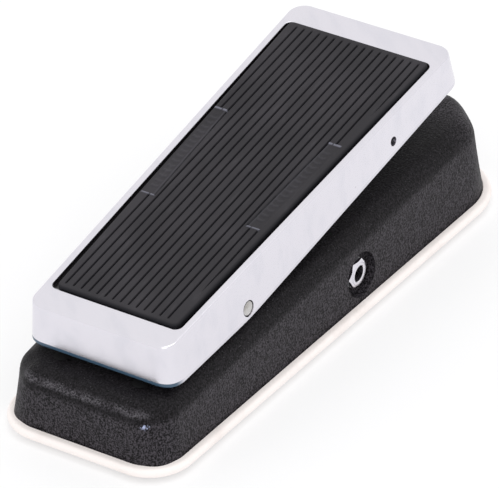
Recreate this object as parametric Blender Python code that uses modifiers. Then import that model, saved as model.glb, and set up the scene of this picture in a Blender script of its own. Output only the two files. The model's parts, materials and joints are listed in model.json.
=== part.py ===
"""Rocker effects pedal: a cast housing with a tilting treadle that turns a potentiometer through a rack.

Metres, +Z up. X is across the pedal, +Y points to the toe end, and the origin is on the floor under the
middle of the base. The treadle is drawn as it rests between its two limits.
"""

import math

import bmesh
import bpy
from mathutils import Matrix, Vector

MM = 0.001
GAP = 0.3 * MM
FIT = 0.15 * MM
THROUGH = 60.0 * MM

# Base: a plan that widens to the toe, walls that lean in, and a top that climbs to the toe.
BASE_LENGTH = 252.0 * MM
TRIM_WIDTH = 3.9 * MM
TRIM_BOTTOM = 2.0 * MM
TRIM_TOP = 6.2 * MM
TRIM_EDGE = 1.2 * MM
HOUSING_Y = BASE_LENGTH / 2 - TRIM_WIDTH
HOUSING_HEEL_HALF = 36.6 * MM
HOUSING_TOE_HALF = 47.6 * MM
HOUSING_HEEL_CORNER = 14.9 * MM
HOUSING_TOE_CORNER = 24.7 * MM
HOUSING_BOTTOM = 5.6 * MM
HOUSING_HEEL_TOP = 30.8 * MM
HOUSING_TOE_TOP = 43.4 * MM
HOUSING_EDGE = 8.0 * MM
HOUSING_WALL = 3.0 * MM
SIDE_DRAFT = 0.0625
TOE_DRAFT = 0.09
HEEL_DRAFT = 0.03
PLATE_BOTTOM = 3.0 * MM
PLATE_TOP = 4.2 * MM
LIP_BOTTOM = 4.5 * MM
LIP_TOP = 5.3 * MM
LIP_REACH = 2.4 * MM
POST_RADIUS = 4.0 * MM
POST_DEPTH_UNDER_TOP = 2.6 * MM
PILOT_RADIUS = 1.9 * MM
PILOT_TOP = 18.0 * MM
PLATE_HOLE_RADIUS = 2.2 * MM

# Hinge: the axis of the treadle, along X.
HINGE_Y = -57.2 * MM
HINGE_Z = 43.1 * MM
TREADLE_TILT = math.radians(6.82)
SHAFT_RADIUS = 3.0 * MM
LUG_INNER_X = 18.5 * MM
LUG_OUTER_X = 24.5 * MM
LUG_RADIUS = 7.0 * MM
LUG_ROOT = 2.0 * MM
BUSHING_RADIUS = 4.5 * MM
BUSHING_CLEARANCE = 0.35 * MM
BUSHING_FLANGE_RADIUS = 5.6 * MM
BUSHING_FLANGE_GAP = 0.2 * MM
BUSHING_FLANGE_END = 1.2 * MM
BUSHING_FIT = 0.1 * MM
BOSS_X = (26.2 * MM, 33.6 * MM)
BOSS_HALF_Y = 6.0 * MM
BOSS_BOTTOM = -3.3 * MM
SET_SCREW_X = 29.2 * MM
SET_SCREW_RADIUS = 1.95 * MM
SET_SCREW_HEEL = -6.0 * MM
SET_SCREW_HOLE_RADIUS = 2.3 * MM
SET_SCREW_HOLE = (-9.0 * MM, -2.0 * MM)

# Treadle, measured from the hinge: Y along its top, Z square to it.
TREADLE_HEEL = -50.3 * MM
TREADLE_TOE = 157.1 * MM
TREADLE_TOP = 16.5 * MM
TREADLE_HEEL_HALF = 32.3 * MM
TREADLE_TOE_HALF = 37.5 * MM
TREADLE_HEEL_DEPTH = 17.35 * MM
TREADLE_HINGE_DEPTH = 20.4 * MM
TREADLE_TOE_DEPTH = 13.9 * MM
TREADLE_DRAFT = 0.105
TREADLE_WALL = 2.5 * MM
TREADLE_SKIN = 2.6 * MM
TREADLE_CORNER = 8.0 * MM
TREADLE_EDGE = 2.0 * MM
CAVITY_DROP = 6.0 * MM
CEILING_OVERLAP = 0.6 * MM
RECESS_DEPTH = 2.0 * MM
RECESS_HEEL = -36.5 * MM
RECESS_TOE = 144.6 * MM
RECESS_RIM = 4.1 * MM
RECESS_CORNER = 3.0 * MM
RECESS_CUT_TOP = 4.0 * MM
TREAD_CLEARANCE = 0.7 * MM
TREAD_PROUD = 1.3 * MM
TREAD_EDGE = 0.8 * MM

# Rack and pinion: the rack hangs from a pin in the treadle and turns the potentiometer.
RACK_PIN_LOCAL = (106.9 * MM, 5.5 * MM)
RACK_PIN_RADIUS = 1.75 * MM
RACK_PIN_HALF_LENGTH = 8.6 * MM
EAR_X = (4.2 * MM, 8.2 * MM)
EAR_HALF_Y = 4.5 * MM
EAR_DROP = 4.0 * MM
EYE_HALF_Y = 5.6 * MM
EYE_HALF_Z = 4.2 * MM
EYE_SHOULDER = 3.0 * MM
EYE_SLOT_REACH = 1.5 * MM
RACK_TEETH = range(-2, 6)
RACK_SLOT_HALF_X = 4.0 * MM
RACK_SLOT_HEEL = 5.4 * MM
RACK_SLOT_TOE = 3.6 * MM
RACK_HALF_DEPTH = 2.5 * MM
GEAR_MODULE = 1.0 * MM
GEAR_TEETH = 12
GEAR_HALF_WIDTH = 2.5 * MM
GEAR_ADDENDUM = 0.9 * MM
RACK_ADDENDUM = 0.65 * MM
RACK_DEDENDUM = 1.1 * MM
PRESSURE_ANGLE = math.radians(20)
BACKLASH = 0.25 * MM
PINION_Z = 25.3 * MM
PINION_ROOT_GAP = 0.2 * MM
FLANK_STEPS = 3
FLANK_ROOT_ANGLE = 0.02
GUIDE_GAP = 0.4 * MM
GUIDE_HALF_X = 4.0 * MM
GUIDE_DEPTH = 4.2 * MM
GUIDE_Z = (19.0 * MM, 30.0 * MM)

# Bracket, measured from the pinion's axis along the sloping ceiling, and the potentiometer it carries.
BRACKET_WEB_X = (7.3 * MM, 8.5 * MM)
BRACKET_Y = (-11.0 * MM, 19.0 * MM)
BRACKET_Z = (-11.0 * MM, 10.2 * MM)
FLANGE_BOTTOM = 9.0 * MM
FLANGE_END_X = 25.0 * MM
TAB_X = -4.5 * MM
TAB_Y = 17.8 * MM
TAB_Z = (-9.0 * MM, 6.0 * MM)
BRACKET_SCREW_X = 20.8 * MM
BRACKET_SCREW_Y = (-5.0 * MM, 13.0 * MM)
BRACKET_HOLE_RADIUS = 1.8 * MM
SCREW_SHANK = 1.4 * MM
SCREW_HEAD = 2.7 * MM
POT_RADIUS = 8.2 * MM
POT_X = (8.8 * MM, 16.8 * MM)
POT_BUSHING_X = 3.6 * MM
POT_BORE_RADIUS = 3.15 * MM
POT_BORE_END = 9.8 * MM
POT_SHAFT_X = (-4.2 * MM, 9.4 * MM)
POT_NUT_X = (4.6 * MM, 7.0 * MM)
POT_TAG_X = (11.4 * MM, 11.9 * MM)
POT_TAG_REACH = 12.6 * MM
POT_TAG_ROOT = 6.0 * MM
POT_TAG_PITCH = 4.0 * MM

# Jacks, one in each side wall, measured outwards from the middle.
JACK_Y = 16.0 * MM
JACK_Z = 17.6 * MM
JACK_RECESS_RADIUS = 9.6 * MM
JACK_FLOOR_X = 38.2 * MM
JACK_BUSHING_RADIUS = 4.75 * MM
JACK_BORE_RADIUS = 3.3 * MM
JACK_BORE_START = 12.0 * MM
JACK_BARREL_X = (34.0 * MM, 41.3 * MM)
JACK_BODY_X = (9.6 * MM, 35.3 * MM)
JACK_BODY_HALF = 8.2 * MM
JACK_HOLE_CLEARANCE = 0.25 * MM
JACK_PAD_MARGIN = 1.9 * MM
JACK_PAD_INSIDE = 2.6 * MM
JACK_PAD_OUTSIDE = 3.0 * MM
JACK_NUT_X = (39.0 * MM, 40.9 * MM)
JACK_WASHER_X = (38.4 * MM, 38.8 * MM)
JACK_WASHER_RADIUS = 7.7 * MM
JACK_TAG_X = (5.5 * MM, 11.0 * MM)
JACK_TAG_HALF_Y = 1.2 * MM
JACK_TAG_PITCH = 5.0 * MM
JACK_TAG_THICKNESS = 0.5 * MM
NUT_FLATS = 12.7 * MM

# Footswitch under the toe of the treadle.
SWITCH_Y = 88.0 * MM
SWITCH_BUSHING_RADIUS = 6.0 * MM
PLUNGER_RADIUS = 4.2 * MM
PLUNGER_TOP = 51.0 * MM
PLUNGER_BOTTOM = 38.5 * MM
PLUNGER_CLEARANCE = 0.2 * MM
SWITCH_HOLE_CLEARANCE = 0.4 * MM
SWITCH_HALF_X = 8.5 * MM
SWITCH_HALF_Y = 14.0 * MM
SWITCH_Z = (16.0 * MM, 32.5 * MM)
SWITCH_BARREL_Z = (32.0 * MM, 47.2 * MM)
SWITCH_BORE_Z = (35.0 * MM, 49.0 * MM)
SWITCH_TAG_PITCH = (4.0 * MM, 8.0 * MM)
SWITCH_TAG_Z = (10.0 * MM, 17.0 * MM)
SWITCH_TAG_HALF = 0.5 * MM
SWITCH_NUT_FLATS = 14.0 * MM
SWITCH_TOP_NUT_Z = (43.4 * MM, 45.9 * MM)
SWITCH_INNER_NUT_Z = (35.0 * MM, 37.5 * MM)
SWITCH_WASHER_RADIUS = 8.4 * MM
SWITCH_WASHER_Z = (42.35 * MM, 43.1 * MM)

# Feet and the screws that hold the bottom plate: heel pair and toe pair.
FOOT_RADIUS = 7.5 * MM
FOOT_TOP = 2.7 * MM
FOOT_TAPER = 0.6 * MM
FOOT_WELL_RADIUS = 4.2 * MM
FOOT_WELL_TOP = 1.5 * MM
FOOT_PLACES = {
    "heel_left": (-29.3 * MM, -102.0 * MM),
    "heel_right": (29.3 * MM, -102.0 * MM),
    "toe_left": (-36.0 * MM, 100.0 * MM),
    "toe_right": (36.0 * MM, 100.0 * MM),
}

# Circuit board near the heel, battery in the middle.
BOARD_HALF_X = 22.0 * MM
BOARD_Y = (-114.0 * MM, -64.0 * MM)
BOARD_Z = (19.4 * MM, 21.0 * MM)
STANDOFF_INSET = 3.6 * MM
STANDOFF_RADIUS = 2.8 * MM
BOARD_HOLE_RADIUS = 1.7 * MM
BATTERY_LOW = (-30.0 * MM, -50.0 * MM, 6.0 * MM)
BATTERY_SIZE = (46.5 * MM, 26.5 * MM, 17.5 * MM)
STUD_RADIUS = 2.9 * MM
STUD_HEIGHT = 2.2 * MM
STUD_OFFSET = 6.4 * MM
SOCKET_RADIUS = 3.2 * MM
SOCKET_DEPTH = 2.6 * MM
SNAP_X = (0.5 * MM, 4.4 * MM)
SNAP_HALF_Y = 12.0 * MM
SNAP_HALF_Z = 6.0 * MM
CRADLE_SHEET = 0.8 * MM
CRADLE_X = (-20.0 * MM, 10.0 * MM)
CRADLE_TOP = 15.0 * MM
LEAD_RADIUS = 0.6 * MM
LEAD_RISE = 6.5 * MM
LEAD_SWAY = 2.5 * MM
LEAD_POINTS = 16

# Bumpers: one under the treadle's toe in the treadle's frame, and two on the housing under its heel.
TOE_BUMPER_RADIUS = 7.0 * MM
TOE_BUMPER_Y = 145.2 * MM
TOE_BUMPER_Z = (8.6 * MM, 11.6 * MM)
HEEL_BUMPER_RADIUS = 3.2 * MM
HEEL_BUMPER_X = 18.0 * MM
HEEL_BUMPER_Y = -106.5 * MM

ALONG_X = Matrix.Rotation(math.pi / 2, 4, "Y")
ALONG_Y = Matrix.Rotation(-math.pi / 2, 4, "X")
UPRIGHT = Matrix.Identity(4)

PARTS = None
CUTTERS = None


# ---------------------------------------------------------------- scene and materials

def clear_scene():
    for obj in list(bpy.context.scene.objects):
        bpy.data.objects.remove(obj, do_unlink=True)


def new_collection(name, hidden=False):
    collection = bpy.data.collections.new(name)
    collection.hide_render = hidden
    bpy.context.scene.collection.children.link(collection)
    return collection


def finish(name, color, roughness, metallic=0.0):
    """A Principled material."""
    material = bpy.data.materials.new(name)
    material.use_nodes = True
    shader = material.node_tree.nodes["Principled BSDF"]
    shader.inputs["Base Color"].default_value = (*color, 1.0)
    shader.inputs["Roughness"].default_value = roughness
    shader.inputs["Metallic"].default_value = metallic
    material.diffuse_color = (*color, 1.0)
    return material


def make_finishes():
    return {
        "black_enamel": finish("black_enamel", (0.028, 0.026, 0.029), 0.55),
        "chrome": finish("chrome", (0.82, 0.82, 0.84), 0.08, 1.0),
        "steel": finish("steel", (0.56, 0.56, 0.55), 0.35, 1.0),
        "cream_rubber": finish("cream_rubber", (0.86, 0.78, 0.72), 0.6),
        "grey_rubber": finish("grey_rubber", (0.055, 0.05, 0.056), 0.75),
        "black_plastic": finish("black_plastic", (0.02, 0.02, 0.022), 0.4),
        "white_nylon": finish("white_nylon", (0.8, 0.79, 0.74), 0.5),
        "board": finish("board", (0.03, 0.16, 0.06), 0.45),
        "film": finish("film", (0.5, 0.12, 0.06), 0.35),
        "battery": finish("battery", (0.05, 0.05, 0.06), 0.3),
        "insulation": finish("insulation", (0.45, 0.06, 0.05), 0.45),
    }


# ---------------------------------------------------------------- building blocks

def add_object(name, mesh, material=None, cutter=False):
    obj = bpy.data.objects.new(name, mesh)
    (CUTTERS if cutter else PARTS).objects.link(obj)
    if material:
        mesh.materials.append(material)
    if cutter:
        obj.hide_render = True
        obj.display_type = "WIRE"
    return obj


def mesh_from(bm, name):
    bmesh.ops.recalc_face_normals(bm, faces=bm.faces)
    mesh = bpy.data.meshes.new(name)
    bm.to_mesh(mesh)
    bm.free()
    return mesh


def add_box(bm, low, high, place=UPRIGHT):
    """A box from its lowest to its highest corner, then moved by place."""
    low, high = Vector(low), Vector(high)
    size = Matrix.Diagonal((*(high - low), 1.0))
    matrix = place @ Matrix.Translation((low + high) / 2) @ size
    return bmesh.ops.create_cube(bm, size=1.0, matrix=matrix)["verts"]


def add_rod(bm, radius, start, end, direction=UPRIGHT, centre=(0, 0, 0), sides=24):
    """A cylinder about an axis through centre, from start to end along it."""
    middle = Matrix.Translation((0, 0, (start + end) / 2))
    bmesh.ops.create_cone(
        bm, cap_ends=True, segments=sides, radius1=radius, radius2=radius,
        depth=end - start, matrix=Matrix.Translation(centre) @ direction @ middle)


def box(name, low, high, material=None, cutter=False):
    bm = bmesh.new()
    add_box(bm, low, high)
    return add_object(name, mesh_from(bm, name), material, cutter)


def rod(name, radius, start, end, direction=UPRIGHT, centre=(0, 0, 0), sides=24,
        material=None, cutter=False):
    bm = bmesh.new()
    add_rod(bm, radius, start, end, direction, centre, sides)
    return add_object(name, mesh_from(bm, name), material, cutter)


def turned(name, profile, direction, centre, material, sides=24, closed=True):
    """A lathe shape: radius and height pairs, down the outer side first, spun about the axis."""
    mesh = bpy.data.meshes.new(name)
    points = [(radius, 0.0, height) for radius, height in profile]
    links = [(i, i + 1) for i in range(len(points) - 1)]
    if closed:
        links.append((len(points) - 1, 0))
    mesh.from_pydata(points, links, [])
    obj = add_object(name, mesh, material)
    screw = obj.modifiers.new("Screw", "SCREW")
    screw.steps = screw.render_steps = sides
    screw.use_merge_vertices = True
    screw.merge_threshold = 0.00001
    obj.matrix_world = Matrix.Translation(centre) @ direction
    return obj


def ring(name, outer, inner, start, end, direction, centre, material, sides=24):
    return turned(name, [(outer, end), (outer, start), (inner, start), (inner, end)],
                  direction, centre, material, sides)


def combine(obj, tool, operation):
    modifier = obj.modifiers.new(tool.name, "BOOLEAN")
    modifier.operation = operation
    modifier.solver = "EXACT"
    modifier.object = tool


def cut(obj, *tools):
    for tool in tools:
        combine(obj, tool, "DIFFERENCE")


def join(obj, *tools):
    for tool in tools:
        combine(obj, tool, "UNION")


def bevel_edges(bm, edges, width, segments):
    bmesh.ops.bevel(bm, geom=edges, offset=width, segments=segments, profile=0.5,
                    affect="EDGES", clamp_overlap=True)


def face_border(bm, side):
    """The edges around the flat face that looks most nearly up (side 1) or down (side -1)."""
    bm.normal_update()
    aligned = [face for face in bm.faces if face.normal.z * side > 0.9]
    return [edge for face in aligned for edge in face.edges
            if sum(other in aligned for other in edge.link_faces) == 1]


def upright_edges(bm, toe_side):
    """The edges at the plan corners of the toe end or of the heel end."""
    found = []
    for edge in bm.edges:
        along = (edge.verts[1].co - edge.verts[0].co).normalized()
        middle = (edge.verts[0].co + edge.verts[1].co) / 2
        if abs(along.z) > 0.7 and abs(middle.x) > MM and (middle.y > 0) == toe_side:
            found.append(edge)
    return found


def hexagon(name, across_flats, start, end, hole, direction, centre, material):
    """A plain hexagonal nut with a round hole."""
    nut = rod(name, across_flats / math.sqrt(3), start, end, direction, centre, 6, material)
    bore = rod(name + "_bore", hole, start - MM, end + MM, direction, centre, 24, cutter=True)
    cut(nut, bore)
    return nut


# ---------------------------------------------------------------- base

def housing_top(y):
    """Height of the sloping top of the housing."""
    share = (y + HOUSING_Y) / (2 * HOUSING_Y)
    return HOUSING_HEEL_TOP + (HOUSING_TOE_TOP - HOUSING_HEEL_TOP) * share


def plan_prism(name, offset, bottom, top, edge=0.0, material=None, cutter=False):
    """An upright prism on the base's plan, grown outwards by offset."""
    bm = bmesh.new()
    reach = HOUSING_Y + offset
    for vert in bmesh.ops.create_cube(bm, size=2.0)["verts"]:
        half = (HOUSING_TOE_HALF if vert.co.y > 0 else HOUSING_HEEL_HALF) + offset
        vert.co = (half * vert.co.x, reach * vert.co.y, top if vert.co.z > 0 else bottom)
    bevel_edges(bm, upright_edges(bm, False), HOUSING_HEEL_CORNER + offset, 6)
    bevel_edges(bm, upright_edges(bm, True), HOUSING_TOE_CORNER + offset, 8)
    if edge:
        bevel_edges(bm, face_border(bm, 1) + face_border(bm, -1), edge, 2)
    return add_object(name, mesh_from(bm, name), material, cutter)


def housing_body(name, inset, bottom, material=None, cutter=False):
    """The housing's outer shape, shrunk by inset on its walls and its top."""
    bm = bmesh.new()
    for vert in bmesh.ops.create_cube(bm, size=2.0)["verts"]:
        toe = vert.co.y > 0
        half = (HOUSING_TOE_HALF if toe else HOUSING_HEEL_HALF) - inset
        top = (HOUSING_TOE_TOP if toe else HOUSING_HEEL_TOP) - inset
        height = top if vert.co.z > 0 else bottom
        rise = height - HOUSING_BOTTOM
        reach = HOUSING_Y - inset - rise * (TOE_DRAFT if toe else HEEL_DRAFT)
        vert.co = ((half - rise * SIDE_DRAFT) * vert.co.x, reach * vert.co.y, height)
    bevel_edges(bm, upright_edges(bm, False), HOUSING_HEEL_CORNER - inset, 6)
    bevel_edges(bm, upright_edges(bm, True), HOUSING_TOE_CORNER - inset, 8)
    bevel_edges(bm, face_border(bm, 1), HOUSING_EDGE - inset, 3)
    return add_object(name, mesh_from(bm, name), material, cutter)


def housing_additions():
    """Hinge lugs on top, screw posts and jack pads inside."""
    tools = []
    for side, word in ((-1, "left"), (1, "right")):
        inner, outer = sorted((side * LUG_INNER_X, side * LUG_OUTER_X))
        tools.append(box("lug_" + word, (inner, HINGE_Y - LUG_RADIUS, housing_top(HINGE_Y) - LUG_ROOT),
                         (outer, HINGE_Y + LUG_RADIUS, HINGE_Z), cutter=True))
        tools.append(rod("lug_crown_" + word, LUG_RADIUS, inner, outer, ALONG_X,
                         (0, HINGE_Y, HINGE_Z), 24, cutter=True))
        pad_in, pad_out = sorted(side * x for x in (JACK_FLOOR_X - JACK_PAD_INSIDE,
                                                    JACK_FLOOR_X + JACK_PAD_OUTSIDE))
        tools.append(rod("jack_pad_" + word, JACK_RECESS_RADIUS + JACK_PAD_MARGIN, pad_in, pad_out, ALONG_X,
                         (0, JACK_Y, JACK_Z), 24, cutter=True))
    for word, (x, y) in FOOT_PLACES.items():
        tools.append(rod("post_" + word, POST_RADIUS, HOUSING_BOTTOM + GAP,
                         housing_top(y) - POST_DEPTH_UNDER_TOP, UPRIGHT, (x, y, 0), 16, cutter=True))
    return tools


def housing_cuts():
    """Bushing bores, jack recesses and holes, post pilots, rack slot, switch and bracket holes."""
    tools = [rod("hinge_bore", BUSHING_RADIUS + BUSHING_CLEARANCE, -THROUGH / 2, THROUGH / 2, ALONG_X,
                 (0, HINGE_Y, HINGE_Z), 24, cutter=True)]
    for side, word in ((-1, "left"), (1, "right")):
        start, end = sorted((side * JACK_FLOOR_X, side * THROUGH))
        tools.append(rod("jack_recess_" + word, JACK_RECESS_RADIUS, start, end, ALONG_X,
                         (0, JACK_Y, JACK_Z), 32, cutter=True))
        start, end = sorted((side * THROUGH / 2, side * THROUGH))
        tools.append(rod("jack_hole_" + word, JACK_BUSHING_RADIUS + JACK_HOLE_CLEARANCE, start, end, ALONG_X,
                         (0, JACK_Y, JACK_Z), 24, cutter=True))
    for word, (x, y) in FOOT_PLACES.items():
        tools.append(rod("pilot_" + word, PILOT_RADIUS, 0, PILOT_TOP, UPRIGHT, (x, y, 0), 12, cutter=True))
    tools.append(box("rack_slot", (-RACK_SLOT_HALF_X, rack_line() - RACK_SLOT_HEEL, THROUGH / 3),
                     (RACK_SLOT_HALF_X, rack_line() + RACK_SLOT_TOE, THROUGH), cutter=True))
    tools.append(rod("switch_hole", SWITCH_BUSHING_RADIUS + SWITCH_HOLE_CLEARANCE, THROUGH / 3, THROUGH,
                     UPRIGHT, (0, SWITCH_Y, 0), 24, cutter=True))
    for index, place in enumerate(bracket_screw_places()):
        hole = rod("bracket_hole_%d" % index, BRACKET_HOLE_RADIUS, 5 * MM, 12.6 * MM, UPRIGHT, (0, 0, 0), 12,
                   cutter=True)
        hole.matrix_world = bracket_frame() @ Matrix.Translation(place)
        tools.append(hole)
    return tools


def make_housing(finishes):
    housing = housing_body("base_housing", 0.0, HOUSING_BOTTOM, finishes["black_enamel"])
    cavity = housing_body("housing_cavity", HOUSING_WALL, HOUSING_BOTTOM - 4 * MM, cutter=True)
    cut(housing, cavity)
    join(housing, *housing_additions())
    cut(housing, *housing_cuts())


def make_trim_and_plate(finishes):
    """The rubber bead round the base, whose lip is clamped between the housing and the bottom plate."""
    trim = plan_prism("base_trim", TRIM_WIDTH, TRIM_BOTTOM, TRIM_TOP, TRIM_EDGE,
                      finishes["cream_rubber"])
    below = plan_prism("trim_below", GAP, TRIM_BOTTOM - MM, LIP_BOTTOM, cutter=True)
    above = plan_prism("trim_above", GAP, LIP_TOP, TRIM_TOP + MM, cutter=True)
    middle = plan_prism("trim_middle", -LIP_REACH, TRIM_BOTTOM - MM, TRIM_TOP + MM, cutter=True)
    cut(trim, below, above, middle)
    plate = plan_prism("bottom_plate", 0.0, PLATE_BOTTOM, PLATE_TOP, 0.0, finishes["steel"])
    for word, (x, y) in FOOT_PLACES.items():
        cut(plate, rod("plate_hole_" + word, PLATE_HOLE_RADIUS, 0, 8 * MM, UPRIGHT, (x, y, 0), 12,
                       cutter=True))


def make_feet(finishes):
    """Four rubber feet, and the screws that pass up through them into the housing's posts."""
    outline = [(FOOT_RADIUS, FOOT_TOP), (FOOT_RADIUS - FOOT_TAPER, 0.0), (FOOT_WELL_RADIUS, 0.0),
               (FOOT_WELL_RADIUS, FOOT_WELL_TOP), (PLATE_HOLE_RADIUS, FOOT_WELL_TOP),
               (PLATE_HOLE_RADIUS, FOOT_TOP)]
    screw = [(0, 14 * MM), (1.6 * MM, 14 * MM), (1.6 * MM, 1.2 * MM), (3.6 * MM, 1.2 * MM),
             (3.2 * MM, 0.4 * MM), (0, 0.4 * MM)]
    for word, (x, y) in FOOT_PLACES.items():
        turned("foot_" + word, outline, UPRIGHT, (x, y, 0), finishes["grey_rubber"], 24)
        turned("foot_screw_" + word, screw, UPRIGHT, (x, y, 0), finishes["steel"], 12, closed=False)


# ---------------------------------------------------------------- treadle

def treadle_frame():
    """Places treadle coordinates in the world: the hinge axis, and the tilt of the resting treadle."""
    return Matrix.Translation((0, HINGE_Y, HINGE_Z)) @ Matrix.Rotation(TREADLE_TILT, 4, "X")


def treadle_half(y):
    """Half width of the treadle's top."""
    share = (y - TREADLE_HEEL) / (TREADLE_TOE - TREADLE_HEEL)
    return TREADLE_HEEL_HALF + (TREADLE_TOE_HALF - TREADLE_HEEL_HALF) * share


def treadle_block(name, inset, top, drop, material=None, cutter=False):
    """The treadle's outer shape, shrunk by inset, with its lower edge bent at the hinge and lowered by drop."""
    bm = bmesh.new()
    bmesh.ops.create_cube(bm, size=2.0)
    lengthwise = [edge for edge in bm.edges if abs(edge.verts[0].co.y - edge.verts[1].co.y) > 1]
    bmesh.ops.subdivide_edges(bm, edges=lengthwise, cuts=1)
    stations = {-1: (TREADLE_HEEL, TREADLE_HEEL_DEPTH), 0: (0.0, TREADLE_HINGE_DEPTH),
                1: (TREADLE_TOE, TREADLE_TOE_DEPTH)}
    for vert in bm.verts:
        end = round(vert.co.y)
        along, depth = stations[end]
        height = top if vert.co.z > 0 else TREADLE_TOP - depth - drop
        spread = (TREADLE_TOP - height) * TREADLE_DRAFT - inset
        vert.co = ((treadle_half(along) + spread) * vert.co.x, along + end * spread, height)
    for toe_side in (False, True):
        corners = [edge for edge in upright_edges(bm, toe_side)
                   if abs(edge.verts[0].co.y) > 20 * MM]
        bevel_edges(bm, corners, TREADLE_CORNER - inset, 5)
    if not cutter:
        bevel_edges(bm, face_border(bm, 1), TREADLE_EDGE, 2)
    obj = add_object(name, mesh_from(bm, name), material, cutter)
    obj.matrix_world = treadle_frame()
    return obj


def recess_block(name, shrink, bottom, top, edge, material=None, cutter=False):
    """A flat tapered block that fits the recess in the treadle's top, less shrink all round."""
    bm = bmesh.new()
    for vert in bmesh.ops.create_cube(bm, size=2.0)["verts"]:
        along = RECESS_TOE - shrink if vert.co.y > 0 else RECESS_HEEL + shrink
        half = treadle_half(along) - RECESS_RIM - shrink
        vert.co = (half * vert.co.x, along, top if vert.co.z > 0 else bottom)
    bevel_edges(bm, upright_edges(bm, False) + upright_edges(bm, True), RECESS_CORNER, 3)
    if edge:
        bevel_edges(bm, face_border(bm, 1), edge, 1)
    obj = add_object(name, mesh_from(bm, name), material, cutter)
    obj.matrix_world = treadle_frame()
    return obj


def treadle_additions():
    """Shaft bosses on the side walls and the two ears that hold the rack's pin."""
    ceiling = TREADLE_TOP - RECESS_DEPTH - TREADLE_SKIN + CEILING_OVERLAP
    pin_y, pin_z = RACK_PIN_LOCAL
    tools = []
    for side, word in ((-1, "left"), (1, "right")):
        inner, outer = sorted(side * x for x in BOSS_X)
        tools.append(box("shaft_boss_" + word, (inner, -BOSS_HALF_Y, BOSS_BOTTOM),
                         (outer, BOSS_HALF_Y, ceiling), cutter=True))
        inner, outer = sorted(side * x for x in EAR_X)
        tools.append(box("pin_ear_" + word, (inner, pin_y - EAR_HALF_Y, pin_z - EAR_DROP),
                         (outer, pin_y + EAR_HALF_Y, ceiling), cutter=True))
    return tools


def treadle_cuts():
    """Bores for the shaft, its two set screws and the rack pin, and the pin's access holes."""
    pin_y, pin_z = RACK_PIN_LOCAL
    tools = [
        rod("shaft_bore", SHAFT_RADIUS + FIT, -THROUGH, THROUGH, ALONG_X, cutter=True),
        rod("pin_bore", RACK_PIN_RADIUS + FIT, -THROUGH, THROUGH, ALONG_X, (0, pin_y, pin_z), 20,
            cutter=True),
    ]
    for side, word in ((-1, "left"), (1, "right")):
        tools.append(rod("set_screw_hole_" + word, SET_SCREW_HOLE_RADIUS, *SET_SCREW_HOLE, ALONG_Y,
                         (side * SET_SCREW_X, 0, 0), 12, cutter=True))
    return tools


def make_treadle(finishes):
    treadle = treadle_block("treadle", 0.0, TREADLE_TOP, 0.0, finishes["chrome"])
    ceiling = TREADLE_TOP - RECESS_DEPTH - TREADLE_SKIN
    cut(treadle, treadle_block("treadle_cavity", TREADLE_WALL, ceiling, CAVITY_DROP, cutter=True))
    floor = TREADLE_TOP - RECESS_DEPTH
    cut(treadle, recess_block("tread_recess", 0.0, floor, TREADLE_TOP + RECESS_CUT_TOP, 0.0, cutter=True))
    for tool in treadle_additions():
        tool.matrix_world = treadle_frame() @ tool.matrix_world
        join(treadle, tool)
    for tool in treadle_cuts():
        tool.matrix_world = treadle_frame() @ tool.matrix_world
        cut(treadle, tool)
    recess_block("rubber_tread", TREAD_CLEARANCE, floor + GAP, TREADLE_TOP + TREAD_PROUD, TREAD_EDGE,
                 finishes["grey_rubber"])


def make_hinge(finishes):
    """Shaft across the treadle, a nylon bushing in each lug, and a set screw in each boss."""
    wall_x = treadle_half(0) + TREADLE_TOP * TREADLE_DRAFT
    shaft = rod("hinge_shaft", SHAFT_RADIUS, -wall_x, wall_x, ALONG_X, (0, 0, 0), 24, finishes["steel"])
    shaft.matrix_world = treadle_frame()
    for side, word in ((-1, "left"), (1, "right")):
        flange_near, flange_far = LUG_OUTER_X + BUSHING_FLANGE_GAP, LUG_OUTER_X + BUSHING_FLANGE_END
        profile = [(BUSHING_FLANGE_RADIUS, flange_far), (BUSHING_FLANGE_RADIUS, flange_near),
                   (BUSHING_RADIUS, flange_near), (BUSHING_RADIUS, LUG_INNER_X),
                   (SHAFT_RADIUS + BUSHING_FIT, LUG_INNER_X), (SHAFT_RADIUS + BUSHING_FIT, flange_far)]
        outward = Matrix.Rotation(side * math.pi / 2, 4, "Y")
        turned("hinge_bushing_" + word, profile, outward, (0, HINGE_Y, HINGE_Z), finishes["white_nylon"], 24)
        screw = rod("shaft_set_screw_" + word, SET_SCREW_RADIUS, SET_SCREW_HEEL, -SHAFT_RADIUS - GAP, ALONG_Y,
                    (side * SET_SCREW_X, 0, 0), 12, finishes["steel"])
        screw.matrix_world = treadle_frame()


# ---------------------------------------------------------------- rack and potentiometer

def rack_pin_world():
    return treadle_frame() @ Vector((0, *RACK_PIN_LOCAL))


def rack_line():
    """The rack's middle plane, under the pin."""
    return rack_pin_world().y


def pinion_centre():
    pitch_radius = GEAR_MODULE * GEAR_TEETH / 2
    return Vector((0, rack_line() - RACK_HALF_DEPTH - RACK_DEDENDUM - pitch_radius, PINION_Z))


def extrude_outline(name, points, low_x, high_x, material=None, cutter=False):
    """A slab whose outline is given as (y, z) points and whose faces look along X."""
    bm = bmesh.new()
    face = bm.faces.new([bm.verts.new((low_x, y, z)) for y, z in points])
    grown = bmesh.ops.extrude_face_region(bm, geom=[face])["geom"]
    moved = [item for item in grown if isinstance(item, bmesh.types.BMVert)]
    bmesh.ops.translate(bm, verts=moved, vec=(high_x - low_x, 0, 0))
    return add_object(name, mesh_from(bm, name), material, cutter)


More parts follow.
